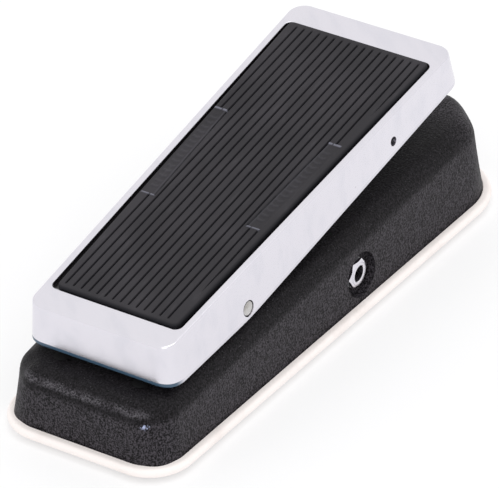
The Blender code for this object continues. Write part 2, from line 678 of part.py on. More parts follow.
def rack_outline():
    """The rack's side view: a straight back, teeth towards the pinion, and a wide eye at the top."""
    pin = rack_pin_world()
    pitch = math.pi * GEAR_MODULE
    root = pin.y - RACK_HALF_DEPTH
    tip = root - RACK_DEDENDUM - RACK_ADDENDUM
    half_pitch_line = pitch / 4 - BACKLASH / 2
    half_root = half_pitch_line + RACK_DEDENDUM * math.tan(PRESSURE_ANGLE)
    half_tip = half_pitch_line - RACK_ADDENDUM * math.tan(PRESSURE_ANGLE)
    back = pin.y + RACK_HALF_DEPTH
    eye_low, eye_high = pin.z - EYE_HALF_Z, pin.z + EYE_HALF_Z
    bottom = PINION_Z + RACK_TEETH.start * pitch
    points = [(back, bottom), (back, eye_low - EYE_SHOULDER),
              (pin.y + EYE_HALF_Y, eye_low), (pin.y + EYE_HALF_Y, eye_high),
              (pin.y - EYE_HALF_Y, eye_high), (pin.y - EYE_HALF_Y, eye_low), (root, eye_low - EYE_SHOULDER)]
    for tooth in reversed(RACK_TEETH):
        centre = PINION_Z + (tooth + 0.5) * pitch
        points += [(root, centre + half_root), (tip, centre + half_tip),
                   (tip, centre - half_tip), (root, centre - half_root)]
    points.append((root, bottom))
    return points


def pinion_outline():
    """Involute teeth, one of them pointing at the rack."""
    pitch_radius = GEAR_MODULE * GEAR_TEETH / 2
    base_radius = pitch_radius * math.cos(PRESSURE_ANGLE)
    tip_radius = pitch_radius + GEAR_ADDENDUM
    root_radius = pitch_radius - RACK_ADDENDUM - PINION_ROOT_GAP
    involute_at_pitch = math.tan(PRESSURE_ANGLE) - PRESSURE_ANGLE
    half_angle = math.pi / (2 * GEAR_TEETH) - BACKLASH / (2 * pitch_radius)
    flank = [(root_radius, half_angle + involute_at_pitch + FLANK_ROOT_ANGLE)]
    for step in range(FLANK_STEPS + 1):
        radius = base_radius + (tip_radius - base_radius) * step / FLANK_STEPS
        roll = math.acos(min(1.0, base_radius / radius))
        flank.append((radius, half_angle + involute_at_pitch - (math.tan(roll) - roll)))
    centre = pinion_centre()
    points = []
    for tooth in range(GEAR_TEETH):
        middle = 2 * math.pi * tooth / GEAR_TEETH
        side = [(radius, middle - angle) for radius, angle in flank]
        side += [(radius, middle + angle) for radius, angle in reversed(flank)]
        points += [(centre.y + r * math.cos(a), centre.z + r * math.sin(a)) for r, a in side]
    return points


def make_rack(finishes):
    pin = rack_pin_world()
    rack = extrude_outline("gear_rack", rack_outline(), -GEAR_HALF_WIDTH, GEAR_HALF_WIDTH,
                           finishes["white_nylon"])
    reach, radius = EYE_SLOT_REACH, RACK_PIN_RADIUS + GAP
    arcs = []
    for side in (-1, 1):
        arcs += [(pin.y + side * (reach + radius * math.cos(a)), pin.z + side * radius * math.sin(a))
                 for a in [math.radians(-90 + 22.5 * step) for step in range(9)]]
    cut(rack, extrude_outline("rack_slot_hole", arcs, -5 * MM, 5 * MM, cutter=True))
    pin_rod = rod("rack_pin", RACK_PIN_RADIUS, -RACK_PIN_HALF_LENGTH, RACK_PIN_HALF_LENGTH, ALONG_X,
                  (0, *RACK_PIN_LOCAL), 20, finishes["steel"])
    pin_rod.matrix_world = treadle_frame()


def bracket_frame():
    """The bracket lies along the sloping ceiling: its own frame has its origin on the pinion's axis."""
    slope = math.atan2(HOUSING_TOE_TOP - HOUSING_HEEL_TOP, 2 * HOUSING_Y)
    return Matrix.Translation(pinion_centre()) @ Matrix.Rotation(slope, 4, "X")


def bracket_screw_places():
    return [(BRACKET_SCREW_X, y, 0) for y in BRACKET_SCREW_Y]


def make_bracket(finishes):
    """A bent steel bracket under the ceiling, its two screws, and the block that backs the rack."""
    bm = bmesh.new()
    (web_near, web_far), (heel, toe), (bottom, top) = BRACKET_WEB_X, BRACKET_Y, BRACKET_Z
    add_box(bm, (web_near, heel, bottom), (web_far, toe, top))
    bracket = add_object("pot_bracket", mesh_from(bm, "pot_bracket"), finishes["steel"])
    flange = box("bracket_flange", (web_near, heel, FLANGE_BOTTOM), (FLANGE_END_X, toe, top), cutter=True)
    tab = box("bracket_tab", (TAB_X, TAB_Y, TAB_Z[0]), (web_far, toe, TAB_Z[1]), cutter=True)
    hole = rod("pot_hole", JACK_BUSHING_RADIUS + GAP, 6 * MM, 10 * MM, ALONG_X, cutter=True)
    for tool in (flange, tab):
        tool.matrix_world = bracket_frame()
        join(bracket, tool)
    hole.matrix_world = bracket_frame() @ hole.matrix_world
    cut(bracket, hole)
    for index, place in enumerate(bracket_screw_places()):
        drill = rod("flange_hole_%d" % index, BRACKET_HOLE_RADIUS, FLANGE_BOTTOM - MM, 11 * MM, UPRIGHT,
                    (0, 0, 0), 12, cutter=True)
        drill.matrix_world = bracket_frame() @ Matrix.Translation(place)
        cut(bracket, drill)
    bracket.matrix_world = bracket_frame()
    profile = [(0, 12.0 * MM), (SCREW_SHANK, 12.0 * MM), (SCREW_SHANK, 8.7 * MM), (SCREW_HEAD, 8.7 * MM),
               (2.4 * MM, 7.2 * MM), (0, 7.2 * MM)]
    for index, place in enumerate(bracket_screw_places()):
        screw = turned("bracket_screw_%d" % (index + 1), profile, UPRIGHT, place, finishes["steel"], 12,
                       closed=False)
        screw.matrix_world = bracket_frame() @ Matrix.Translation(place)
    back = rack_line() + RACK_HALF_DEPTH + GUIDE_GAP
    box("rack_guide", (-GUIDE_HALF_X, back, GUIDE_Z[0]), (GUIDE_HALF_X, back + GUIDE_DEPTH, GUIDE_Z[1]),
        finishes["white_nylon"])


def make_potentiometer(finishes):
    centre = pinion_centre()
    pinion = extrude_outline("pinion_gear", pinion_outline(), -GEAR_HALF_WIDTH, GEAR_HALF_WIDTH,
                             finishes["white_nylon"])
    cut(pinion, rod("pinion_bore", SHAFT_RADIUS + FIT, -5 * MM, 5 * MM, ALONG_X, centre, 24, cutter=True))
    rod("pot_shaft", SHAFT_RADIUS, *POT_SHAFT_X, ALONG_X, centre, 24, finishes["steel"])
    near, far = POT_X
    profile = [(0, far), (POT_RADIUS, far), (POT_RADIUS, near), (JACK_BUSHING_RADIUS, near),
               (JACK_BUSHING_RADIUS, POT_BUSHING_X), (POT_BORE_RADIUS, POT_BUSHING_X),
               (POT_BORE_RADIUS, POT_BORE_END), (0, POT_BORE_END)]
    body = turned("potentiometer", profile, ALONG_X, centre, finishes["steel"], 24, closed=False)
    for lane in (-1, 0, 1):
        height = centre.z + lane * POT_TAG_PITCH
        join(body, box("pot_tag_%d" % lane, (POT_TAG_X[0], centre.y - POT_TAG_REACH, height - MM),
                       (POT_TAG_X[1], centre.y - POT_TAG_ROOT, height + MM), cutter=True))
    hexagon("pot_nut", NUT_FLATS, *POT_NUT_X, JACK_BUSHING_RADIUS + GAP, ALONG_X, centre, finishes["steel"])


# ---------------------------------------------------------------- switch and jacks

def make_footswitch(finishes):
    centre = (0, SWITCH_Y, 0)
    switch = box("footswitch_body", (-SWITCH_HALF_X, SWITCH_Y - SWITCH_HALF_Y, SWITCH_Z[0]),
                 (SWITCH_HALF_X, SWITCH_Y + SWITCH_HALF_Y, SWITCH_Z[1]), finishes["steel"])
    for column, row in [(column, row) for column in (-1, 1) for row in (-1, 0, 1)]:
        x, y = column * SWITCH_TAG_PITCH[0], SWITCH_Y + row * SWITCH_TAG_PITCH[1]
        join(switch, box("switch_tag_%d_%d" % (column, row), (x - SWITCH_TAG_HALF, y - MM, SWITCH_TAG_Z[0]),
                         (x + SWITCH_TAG_HALF, y + MM, SWITCH_TAG_Z[1]), cutter=True))
    join(switch, rod("switch_barrel", SWITCH_BUSHING_RADIUS, *SWITCH_BARREL_Z, UPRIGHT, centre, 24,
                     cutter=True))
    cut(switch, rod("plunger_bore", PLUNGER_RADIUS + PLUNGER_CLEARANCE, *SWITCH_BORE_Z, UPRIGHT, centre, 24,
                    cutter=True))
    profile = [(0, PLUNGER_TOP), (2.6 * MM, PLUNGER_TOP), (3.8 * MM, PLUNGER_TOP - 0.6 * MM),
               (PLUNGER_RADIUS, PLUNGER_TOP - 1.6 * MM), (PLUNGER_RADIUS, PLUNGER_BOTTOM), (0, PLUNGER_BOTTOM)]
    turned("footswitch_plunger", profile, UPRIGHT, centre, finishes["chrome"], 24, closed=False)
    hole = SWITCH_BUSHING_RADIUS + GAP
    for word, span in (("top", SWITCH_TOP_NUT_Z), ("inner", SWITCH_INNER_NUT_Z)):
        hexagon("footswitch_%s_nut" % word, SWITCH_NUT_FLATS, *span, hole, UPRIGHT, centre, finishes["steel"])
    ring("footswitch_washer", SWITCH_WASHER_RADIUS, hole, *SWITCH_WASHER_Z, UPRIGHT, centre,
         finishes["steel"], 20)


def make_jack(finishes, role, side):
    """A closed-body jack along X: its body, hexagonal nut, washer and solder tags."""
    centre = (0, JACK_Y, JACK_Z)
    near, far = sorted(side * x for x in JACK_BODY_X)
    jack = box(role + "_jack", (near, JACK_Y - JACK_BODY_HALF, JACK_Z - JACK_BODY_HALF),
               (far, JACK_Y + JACK_BODY_HALF, JACK_Z + JACK_BODY_HALF), finishes["black_plastic"])
    outward = Matrix.Rotation(side * math.pi / 2, 4, "Y")
    join(jack, rod(role + "_jack_barrel", JACK_BUSHING_RADIUS, *JACK_BARREL_X, outward, centre, 24,
                   cutter=True))
    cut(jack, rod(role + "_jack_bore", JACK_BORE_RADIUS, JACK_BORE_START, THROUGH, outward, centre, 24,
                  cutter=True))
    hole = JACK_BUSHING_RADIUS + GAP
    hexagon(role + "_jack_nut", NUT_FLATS, *JACK_NUT_X, hole, outward, centre, finishes["chrome"])
    ring(role + "_jack_washer", JACK_WASHER_RADIUS, hole, *JACK_WASHER_X, outward, centre,
         finishes["steel"], 20)
    for lane in (-1, 1):
        y = JACK_Y + lane * JACK_TAG_PITCH
        inner, outer = sorted(side * x for x in JACK_TAG_X)
        join(jack, box("%s_jack_tag_%d" % (role, lane), (inner, y - JACK_TAG_HALF_Y, JACK_Z),
                       (outer, y + JACK_TAG_HALF_Y, JACK_Z + JACK_TAG_THICKNESS), cutter=True))


# ---------------------------------------------------------------- electronics

def standoff_places():
    reach = (BOARD_Y[1] - BOARD_Y[0]) / 2 - STANDOFF_INSET
    middle = (BOARD_Y[0] + BOARD_Y[1]) / 2
    x = BOARD_HALF_X - STANDOFF_INSET
    return {"heel": (-x, middle - reach), "toe": (x, middle + reach)}


def make_board(finishes):
    """The board hangs from two standoffs under the ceiling, with its parts on the lower side."""
    board = box("circuit_board", (-BOARD_HALF_X, BOARD_Y[0], BOARD_Z[0]),
                (BOARD_HALF_X, BOARD_Y[1], BOARD_Z[1]), finishes["board"])
    profile = [(0, 25 * MM), (SCREW_SHANK, 25 * MM), (SCREW_SHANK, 19.1 * MM), (SCREW_HEAD, 19.1 * MM),
               (2.3 * MM, 17.7 * MM), (0, 17.7 * MM)]
    for word, (x, y) in standoff_places().items():
        cut(board, rod("board_hole_" + word, BOARD_HOLE_RADIUS, 15 * MM, 25 * MM, UPRIGHT, (x, y, 0), 12,
                       cutter=True))
        ceiling = housing_top(y - STANDOFF_RADIUS) - HOUSING_WALL - 0.4 * MM
        ring("standoff_" + word, STANDOFF_RADIUS, BOARD_HOLE_RADIUS, BOARD_Z[1] + 0.2 * MM, ceiling, UPRIGHT,
             (x, y, 0), finishes["white_nylon"], 12)
        turned("board_screw_" + word, profile, UPRIGHT, (x, y, 0), finishes["steel"], 12, closed=False)


def make_components(finishes):
    """Inductor, capacitors and transistors under the board."""
    top = BOARD_Z[0] - GAP
    middle = (BOARD_Y[0] + BOARD_Y[1]) / 2
    rod("inductor", 9.0 * MM, 8.4 * MM, top, UPRIGHT, (9 * MM, middle - 6 * MM, 0), 20, finishes["film"])
    for slot in (1, 2):
        x = (-27 + 9 * slot) * MM
        box("film_capacitor_%d" % slot, (x - 2.6 * MM, middle - 7 * MM, 10.4 * MM),
            (x + 2.6 * MM, middle + 6 * MM, top), finishes["film"])
        rod("electrolytic_capacitor_%d" % slot, 3.2 * MM, 8.2 * MM, top, UPRIGHT, (x, middle + 14 * MM, 0), 14,
            finishes["battery"])
        outline = [(2.3 * math.cos(angle) * MM, 2.3 * math.sin(angle) * MM)
                   for angle in [math.radians(-40 + 26 * step) for step in range(11)]]
        make_transistor("transistor_%d" % slot, outline, (x + 22 * MM, middle + 14 * MM),
                        finishes["black_plastic"])


def make_transistor(name, outline, place, material):
    """A round plastic package with one flat side."""
    bm = bmesh.new()
    x, y = place
    face = bm.faces.new([bm.verts.new((x + px, y + py, 13.4 * MM)) for px, py in outline])
    grown = bmesh.ops.extrude_face_region(bm, geom=[face])["geom"]
    moved = [item for item in grown if isinstance(item, bmesh.types.BMVert)]
    bmesh.ops.translate(bm, verts=moved, vec=(0, 0, 4.8 * MM))
    add_object(name, mesh_from(bm, name), material)


def make_battery(finishes):
    """A block battery in a steel cradle on the bottom plate, with its snap and two leads to the board."""
    low = Vector(BATTERY_LOW)
    high = low + Vector(BATTERY_SIZE)
    battery = box("battery", low, high, finishes["battery"])
    middle_y, middle_z = (low.y + high.y) / 2, (low.z + high.z) / 2
    for side in (-1, 1):
        join(battery, rod("battery_stud_%d" % side, STUD_RADIUS, high.x - MM, high.x + STUD_HEIGHT, ALONG_X,
                          (0, middle_y + side * STUD_OFFSET, middle_z), 12, cutter=True))
    snap = box("battery_snap", (high.x + SNAP_X[0], middle_y - SNAP_HALF_Y, middle_z - SNAP_HALF_Z),
               (high.x + SNAP_X[1], middle_y + SNAP_HALF_Y, middle_z + SNAP_HALF_Z), finishes["black_plastic"])
    for side in (-1, 1):
        cut(snap, rod("snap_socket_%d" % side, SOCKET_RADIUS, high.x, high.x + SOCKET_DEPTH, ALONG_X,
                      (0, middle_y + side * STUD_OFFSET, middle_z), 12, cutter=True))
    outer_low, outer_high = low.y - GAP - CRADLE_SHEET, high.y + GAP + CRADLE_SHEET
    cradle = box("battery_cradle", (CRADLE_X[0], outer_low, PLATE_TOP + GAP),
                 (CRADLE_X[1], outer_high, CRADLE_TOP), finishes["steel"])
    cut(cradle, box("cradle_space", (-30 * MM, low.y - GAP, low.z - GAP), (20 * MM, high.y + GAP, 30 * MM),
                    cutter=True))
    for side, color in ((-1, "insulation"), (1, "black_plastic")):
        word = "red" if side < 0 else "black"
        start = Vector((high.x + 3 * MM, middle_y + side * 3 * MM, middle_z + 6.4 * MM))
        end = Vector((7 * MM + side * 3 * MM, BOARD_Y[1] - 6 * MM, BOARD_Z[1] + 0.5 * MM))
        make_lead("battery_lead_" + word, start, end, side, finishes[color])


def make_lead(name, start, end, side, material):
    """A thin lead from the snap up over the edge of the board and down to it, along a smooth curve."""
    curve = bpy.data.curves.new(name, "CURVE")
    curve.dimensions = "3D"
    curve.bevel_depth = LEAD_RADIUS
    curve.bevel_resolution = 2
    curve.use_fill_caps = True
    spline = curve.splines.new("POLY")
    spline.points.add(LEAD_POINTS - 1)
    for index, point in enumerate(spline.points):
        share = index / (LEAD_POINTS - 1)
        place = start.lerp(end, share * share * (3 - 2 * share))
        place.z = start.z + (end.z - start.z) * share + LEAD_RISE * math.sin(math.pi * share)
        place.x += side * LEAD_SWAY * math.sin(math.pi * share)
        point.co = (*place, 1.0)
    obj = bpy.data.objects.new(name, curve)
    curve.materials.append(material)
    PARTS.objects.link(obj)


def make_bumpers(finishes):
    """A pad under the toe of the treadle, and two pads on the housing under its heel."""
    pad = rod("toe_bumper", TOE_BUMPER_RADIUS, *TOE_BUMPER_Z, UPRIGHT, (0, TOE_BUMPER_Y, 0), 20,
              finishes["grey_rubber"])
    pad.matrix_world = treadle_frame()
    for side, word in ((-1, "left"), (1, "right")):
        base = housing_top(HEEL_BUMPER_Y + 3 * MM) + GAP
        rod("heel_bumper_" + word, HEEL_BUMPER_RADIUS, base, base + MM, UPRIGHT,
            (side * HEEL_BUMPER_X, HEEL_BUMPER_Y, 0), 16, finishes["grey_rubber"])


def main():
    global PARTS, CUTTERS
    clear_scene()
    PARTS = new_collection("effects_pedal")
    CUTTERS = new_collection("cutters", hidden=True)
    finishes = make_finishes()
    make_housing(finishes)
    make_trim_and_plate(finishes)
    make_feet(finishes)
    make_treadle(finishes)
    make_hinge(finishes)
    make_rack(finishes)
    make_bracket(finishes)
    make_potentiometer(finishes)
    make_footswitch(finishes)
    make_jack(finishes, "input", 1)
    make_jack(finishes, "output", -1)
    make_board(finishes)
    make_components(finishes)
    make_battery(finishes)
    make_bumpers(finishes)


main()
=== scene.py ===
"""The looks of a rocker effects pedal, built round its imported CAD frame.

The pedal stands on the floor at z = 0, x runs across it and +y points to its toe end. A sub-assembly is a
class that holds its sizes in metres, makes its skins from grids of points, and dresses them in a finish.
"""

import json
import logging
import math
from collections.abc import Callable, Sequence
from dataclasses import dataclass, field, replace
from enum import Enum
from typing import Any, ClassVar

import bmesh
import bpy
import numpy as np
from mathutils import Matrix, Vector


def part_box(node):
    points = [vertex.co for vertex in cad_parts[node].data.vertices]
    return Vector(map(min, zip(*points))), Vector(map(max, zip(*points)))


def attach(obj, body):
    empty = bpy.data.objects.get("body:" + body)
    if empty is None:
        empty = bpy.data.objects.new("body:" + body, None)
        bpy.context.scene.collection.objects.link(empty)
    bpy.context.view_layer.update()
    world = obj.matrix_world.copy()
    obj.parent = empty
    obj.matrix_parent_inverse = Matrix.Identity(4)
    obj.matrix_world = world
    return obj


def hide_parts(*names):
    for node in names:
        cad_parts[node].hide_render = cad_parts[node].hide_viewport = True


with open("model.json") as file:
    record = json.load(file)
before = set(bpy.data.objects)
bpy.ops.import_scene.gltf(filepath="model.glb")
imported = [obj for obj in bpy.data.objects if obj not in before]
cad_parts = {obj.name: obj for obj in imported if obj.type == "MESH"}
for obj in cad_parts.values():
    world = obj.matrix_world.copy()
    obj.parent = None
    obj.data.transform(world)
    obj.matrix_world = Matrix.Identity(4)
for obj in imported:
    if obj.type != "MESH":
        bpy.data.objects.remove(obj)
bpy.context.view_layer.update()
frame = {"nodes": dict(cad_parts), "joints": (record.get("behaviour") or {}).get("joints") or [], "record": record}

LOG = logging.getLogger("pedal")
MM = 0.001
RECORD = frame["record"]
SIDES = ((-1, "left"), (1, "right"))
BODY_OF = {node: body for body, nodes in RECORD["behaviour"]["bodies"].items() for node in nodes}
JOINTS = {joint["name"]: joint for joint in frame["joints"]}
HINGE = Vector(JOINTS["treadle_tilt"]["pos_m"])
TREADLE_TILT = math.radians(6.82)
TREADLE_PLACE = Matrix.Translation(HINGE) @ Matrix.Rotation(TREADLE_TILT, 4, "X")

Array = np.ndarray
Colour = tuple[float, float, float]


class Axis(Enum):
    """The line that a rod or a slab is drawn along, as the turn that carries +z to it."""

    RIGHT = Matrix.Rotation(math.pi / 2, 4, "Y")
    LEFT = Matrix.Rotation(-math.pi / 2, 4, "Y")
    HEELWARD = Matrix.Rotation(math.pi / 2, 4, "X")
    UP = Matrix.Identity(4)


# ---------------------------------------------------------------- skins


@dataclass
class Shell:
    """Closed skins: points in metres, and faces as rings of point numbers."""

    points: Array
    faces: list[list[int]]

    def __add__(self, other: "Shell") -> "Shell":
        """Both skins side by side in one shell.

        Args:
            other: The second skin.

        Returns:
            The joined shell.
        """
        shift = len(self.points)
        moved = [[index + shift for index in face] for face in other.faces]
        return Shell(np.vstack([self.points, other.points]), self.faces + moved)

    def placed(self, place: Matrix) -> "Shell":
        """The shell with every point carried by a matrix."""
        turn = np.array(place)
        return Shell(self.points @ turn[:3, :3].T + turn[:3, 3], self.faces)

    def mesh(self, name: str) -> bpy.types.Mesh:
        """Writes the shell into a mesh, with poles and seams closed and faces outwards.

        Args:
            name: The mesh's name.

        Returns:
            The new mesh.
        """
        mesh = bpy.data.meshes.new(name)
        mesh.from_pydata(self.points.tolist(), [], self.faces)
        bm = bmesh.new()
        bm.from_mesh(mesh)
        bmesh.ops.remove_doubles(bm, verts=bm.verts[:], dist=0.002 * MM)
        bmesh.ops.recalc_face_normals(bm, faces=bm.faces[:])
        bm.to_mesh(mesh)
        bm.free()
        return mesh


def loft(rings: Array, capped: bool = True, looped: bool = False) -> Shell:
    """Joins rings of points into a skin: point j of ring i makes a quad with its neighbours j + 1 and i + 1.

    Args:
        rings: The points, as rings by points by three.
        capped: Whether a flat face closes the first ring and the last.
        looped: Whether the last ring joins the first instead.

    Returns:
        The skin.
    """
    count, sides = rings.shape[:2]
    index = np.arange(count * sides).reshape(count, sides)
    rows = np.vstack([index, index[:1]]) if looped else index
    here, there = rows[:-1], rows[1:]
    quads = np.stack([here, np.roll(here, -1, 1), np.roll(there, -1, 1), there], -1).reshape(-1, 4)
    faces = quads.tolist()
    if capped and not looped:
        faces += [index[0, ::-1].tolist(), index[-1].tolist()]
    return Shell(rings.reshape(-1, 3), faces)


def lathe(
    profile: Sequence[tuple[float, float]],
    place: Matrix,
    sides: int = 48,
    closed: bool = False,
    shape: Callable[[Array, Array, Array], Array] | None = None,
) -> Shell:
    """Turns a profile about +z: the point at angle t of a profile point (r, h) is (r cos t, r sin t, h).

    Args:
        profile: Points (r, h). An open profile starts and ends on the axis.
        place: Carries the turned skin to its place.
        sides: Steps round the axis.
        closed: Whether the profile is a closed ring clear of the axis.
        shape: Gives the radius from angle, r and h, for threads and hexagons.

    Returns:
        The skin.
    """
    radius, height = (column[:, None] for column in np.array(profile, float).T)
    angle = np.linspace(0, 2 * math.pi, sides, endpoint=False)[None, :]
    spread = shape(angle, radius, height) if shape else radius + 0 * angle
    rings = np.stack([spread * np.cos(angle), spread * np.sin(angle), height + 0 * angle], -1)
    return loft(rings, capped=False, looped=closed).placed(place)


def prism(outline: Array, low: float, high: float) -> Shell:
    """A slab along x: the outline's (y, z) points at x = low and again at x = high.

    Args:
        outline: Points (y, z).
        low: Lower x.
        high: Higher x.

    Returns:
        The skin.
    """
    steps = np.array([low, high])[:, None]
    spread = [outline[None, :, k] + 0 * steps for k in (0, 1)]
    rings = np.stack([steps + 0 * outline[None, :, 0], *spread], -1)
    return loft(rings)


def rod(radius: float, low: float, high: float, axis: Axis, centre: Sequence[float] = (0, 0, 0),
        sides: int = 40, edge: float = 0.0) -> Shell:
    """A round rod from low to high along an axis through centre, its rims bevelled by edge.

    Args:
        radius: The rod's radius.
        low: Where it starts along the axis.
        high: Where it ends.
        axis: The line it lies along.
        centre: A point that the line passes through.
        sides: Steps round it.
        edge: Width of the bevel on both rims.

    Returns:
        The skin.
    """
    profile = [(0, low), (radius - edge, low), (radius, low + edge), (radius, high - edge),
               (radius - edge, high), (0, high)]
    return lathe(profile, Matrix.Translation(centre) @ axis.value, sides)


def box(low: Sequence[float], high: Sequence[float]) -> Shell:
    """A plain block between two corners, used to add to a casting or to cut it."""
    outline = np.array([(low[1], low[2]), (high[1], low[2]), (high[1], high[2]), (low[1], high[2])])
    return prism(outline, low[0], high[0])


def quarter(steps: int) -> list[tuple[float, float]]:
    """A quarter turn in even steps, for rounded edges."""
    return [(1 - math.sin(t), 1 - math.cos(t)) for t in np.linspace(0, math.pi / 2, steps + 1)]


def mirrored(side: int, span: tuple[float, float]) -> list[float]:
    """A span of x on one side of the object."""
    return sorted(side * x for x in span)


@dataclass(frozen=True)
class Plan:
    """A tapered outline with round corners, seen from above.

    A point is centre + (radius - inset) * normal: on a corner the normal turns about one centre, and on a
    straight side centre and radius run evenly between the two corners.
    """

    heel: float
    toe: float
    heel_half: float
    toe_half: float
    heel_radius: float
    toe_radius: float
    arc_steps: int = 14
    side_steps: int = 36
    end_steps: int = 6

    def half(self, y: float | Array) -> float | Array:
        """Half width at a place along the plan, which runs evenly from heel to toe."""
        share = (y - self.heel) / (self.toe - self.heel)
        return self.heel_half + (self.toe_half - self.heel_half) * share

    def frame(self) -> tuple[Array, Array, Array]:
        """Centres, normals and radii round the outline, anticlockwise from the heel's left end.

        Returns:
            Points by two, points by two, and one radius for each point.
        """
        slant = math.atan2(self.toe_half - self.heel_half, self.toe - self.heel)
        reach = math.cos(slant) * self.heel_half - math.sin(slant) * self.heel
        corners = []
        ends = ((self.heel + self.heel_radius, self.heel_radius), (self.toe - self.toe_radius, self.toe_radius))
        for y, radius in ends:
            corners.append(((reach - radius + math.sin(slant) * y) / math.cos(slant), y, radius))
        (heel_x, heel_y, heel_r), (toe_x, toe_y, toe_r) = corners
        quarter = math.pi / 2
        stations = [
            (heel_x, heel_y, heel_r, -quarter, -slant, self.side_steps),
            (toe_x, toe_y, toe_r, -slant, quarter, self.end_steps),
            (-toe_x, toe_y, toe_r, quarter, math.pi + slant, self.side_steps),
            (-heel_x, heel_y, heel_r, math.pi + slant, 3 * quarter, self.end_steps),
        ]
        centres, angles, radii = [], [], []
        for station, following in zip(stations, stations[1:] + stations[:1]):
            x, y, radius, start, end, steps = station
            turn = np.linspace(start, end, self.arc_steps + 1)
            centres.append(np.broadcast_to((x, y), (len(turn), 2)))
            angles.append(turn)
            radii.append(np.full(len(turn), radius))
            share = np.linspace(0, 1, steps + 1)[1:-1]
            centres.append((1 - share)[:, None] * (x, y) + share[:, None] * np.array(following[:2]))
            angles.append(np.full(len(share), end))
            radii.append((1 - share) * radius + share * following[2])
        turn = np.concatenate(angles)
        return np.vstack(centres), np.stack([np.cos(turn), np.sin(turn)], -1), np.concatenate(radii)

    def ring(self, inset: float | Array, height: float | Array | Callable[[Array], Array]) -> Array:
        """One ring of points.

        Args:
            inset: How far inside the outline, as one number or one for each point.
            height: z, as one number, one for each point, or worked out from the points' y.

        Returns:
            The ring, as points by three.
        """
        centre, normal, radius = self.frame()
        flat = centre + (radius - inset)[:, None] * normal
        level = height(flat[:, 1]) if callable(height) else height
        return np.column_stack([flat, np.broadcast_to(level, len(flat))])

    def pad(self, low: float, high: float, edge: float, steps: int = 3) -> Shell:
        """An upright pad on this outline whose rims are rounded by edge.

        Args:
            low: The bottom's height.
            high: The top's height.
            edge: The radius of both rims.
            steps: Steps round each rim.

        Returns:
            The skin.
        """
        lower = [self.ring(edge * inset, low + edge * climb) for inset, climb in quarter(steps)]
        upper = [self.ring(edge * inset, high - edge * drop) for inset, drop in quarter(steps)[::-1]]
        return loft(np.array(lower + upper))


def block_plan(low: Sequence[float], high: Sequence[float], corner: float) -> tuple[Plan, Matrix]:
    """A straight outline for a moulded block, and the shift that puts its middle in place.

    Args:
        low: The block's lowest corner.
        high: Its highest corner.
        corner: Radius of the upright edges.

    Returns:
        The outline about the origin, and the shift.
    """
    half = (high[0] - low[0]) / 2
    reach = (high[1] - low[1]) / 2
    plan = Plan(-reach, reach, half, half, corner, corner, arc_steps=4, side_steps=1, end_steps=1)
    return plan, Matrix.Translation(((low[0] + high[0]) / 2, (low[1] + high[1]) / 2, 0))


def moulded_block(low: Sequence[float], high: Sequence[float], corner: float, edge: float) -> Shell:
    """A block between two corners with round corners and rims."""
    plan, place = block_plan(low, high, corner)
    return plan.pad(low[2], high[2], edge).placed(place)


def hexagonal(across: float) -> Callable[[Array, Array, Array], Array]:
    """A lathe shape that keeps every radius inside a hexagon.

    The hexagon's radius is the flat's distance over the cosine of the angle to that flat.

    Args:
        across: Width across the flats.

    Returns:
        The shape.
    """

    def shape(angle: Array, radius: Array, height: Array) -> Array:
        """The smaller of the profile's radius and the hexagon's."""
        turn = (angle + math.pi / 6) % (math.pi / 3) - math.pi / 6
        return np.minimum(radius + 0 * height, across / 2 / np.cos(turn))

    return shape


def hex_nut(across: float, hole: float, low: float, high: float, place: Matrix, dish: float = 0.0) -> Shell:
    """A hexagonal nut with chamfered corners, a countersunk hole and faces that may fall away outwards.

    Args:
        across: Width across the flats.
        hole: The bore's radius.
        low: Lower face.
        high: Upper face.
        place: Carries the nut from the z axis to its place.
        dish: How far the faces fall from the hole to the flats.

    Returns:
        The skin.
    """
    flat = across / 2
    corner = flat / math.cos(math.pi / 6) + 0.02 * MM
    rise = (corner - flat) * math.tan(math.radians(32))
    share = np.linspace(0, 1, 6)
    lower = [(flat * 0.97 + (corner - flat * 0.97) * s, low + dish + rise * s) for s in share]
    upper = [(radius, high - (height - low)) for radius, height in reversed(lower)]
    sink = 0.25 * MM
    profile = [(hole, low + sink), (hole + sink, low), *lower, *upper, (hole + sink, high), (hole, high - sink)]
    return lathe(profile, place, sides=72, closed=True, shape=hexagonal(across))


def washer(outer: float, hole: float, low: float, high: float, place: Matrix) -> Shell:
    """A flat washer with soft rims.

    Args:
        outer: Outer radius.
        hole: Radius of the hole.
        low: Lower face.
        high: Upper face.
        place: Carries the washer from the z axis to its place.

    Returns:
        The skin.
    """
    soft = min(0.12 * MM, (high - low) / 3)
    profile = [(hole, low), (outer - soft, low), (outer, low + soft), (outer, high - soft),
               (outer - soft, high), (hole, high)]
    return lathe(profile, place, sides=56, closed=True)


def threaded(root: float, depth: float, pitch: float) -> Callable[[Array, Array, Array], Array]:
    """A lathe shape that cuts a helix: radius less depth times a triangle wave of height over pitch less turns.

    Args:
        root: The smallest profile radius that is threaded.
        depth: Depth of the thread.
        pitch: Climb of one turn.

    Returns:
        The shape.
    """

    def shape(angle: Array, radius: Array, height: Array) -> Array:
        """The threaded radius where the profile is at least root, and the profile's own inside it."""
        phase = (height / pitch - angle / (2 * math.pi)) % 1
        return np.where(radius >= root, radius - depth * np.abs(2 * phase - 1), radius + 0 * angle)

    return shape


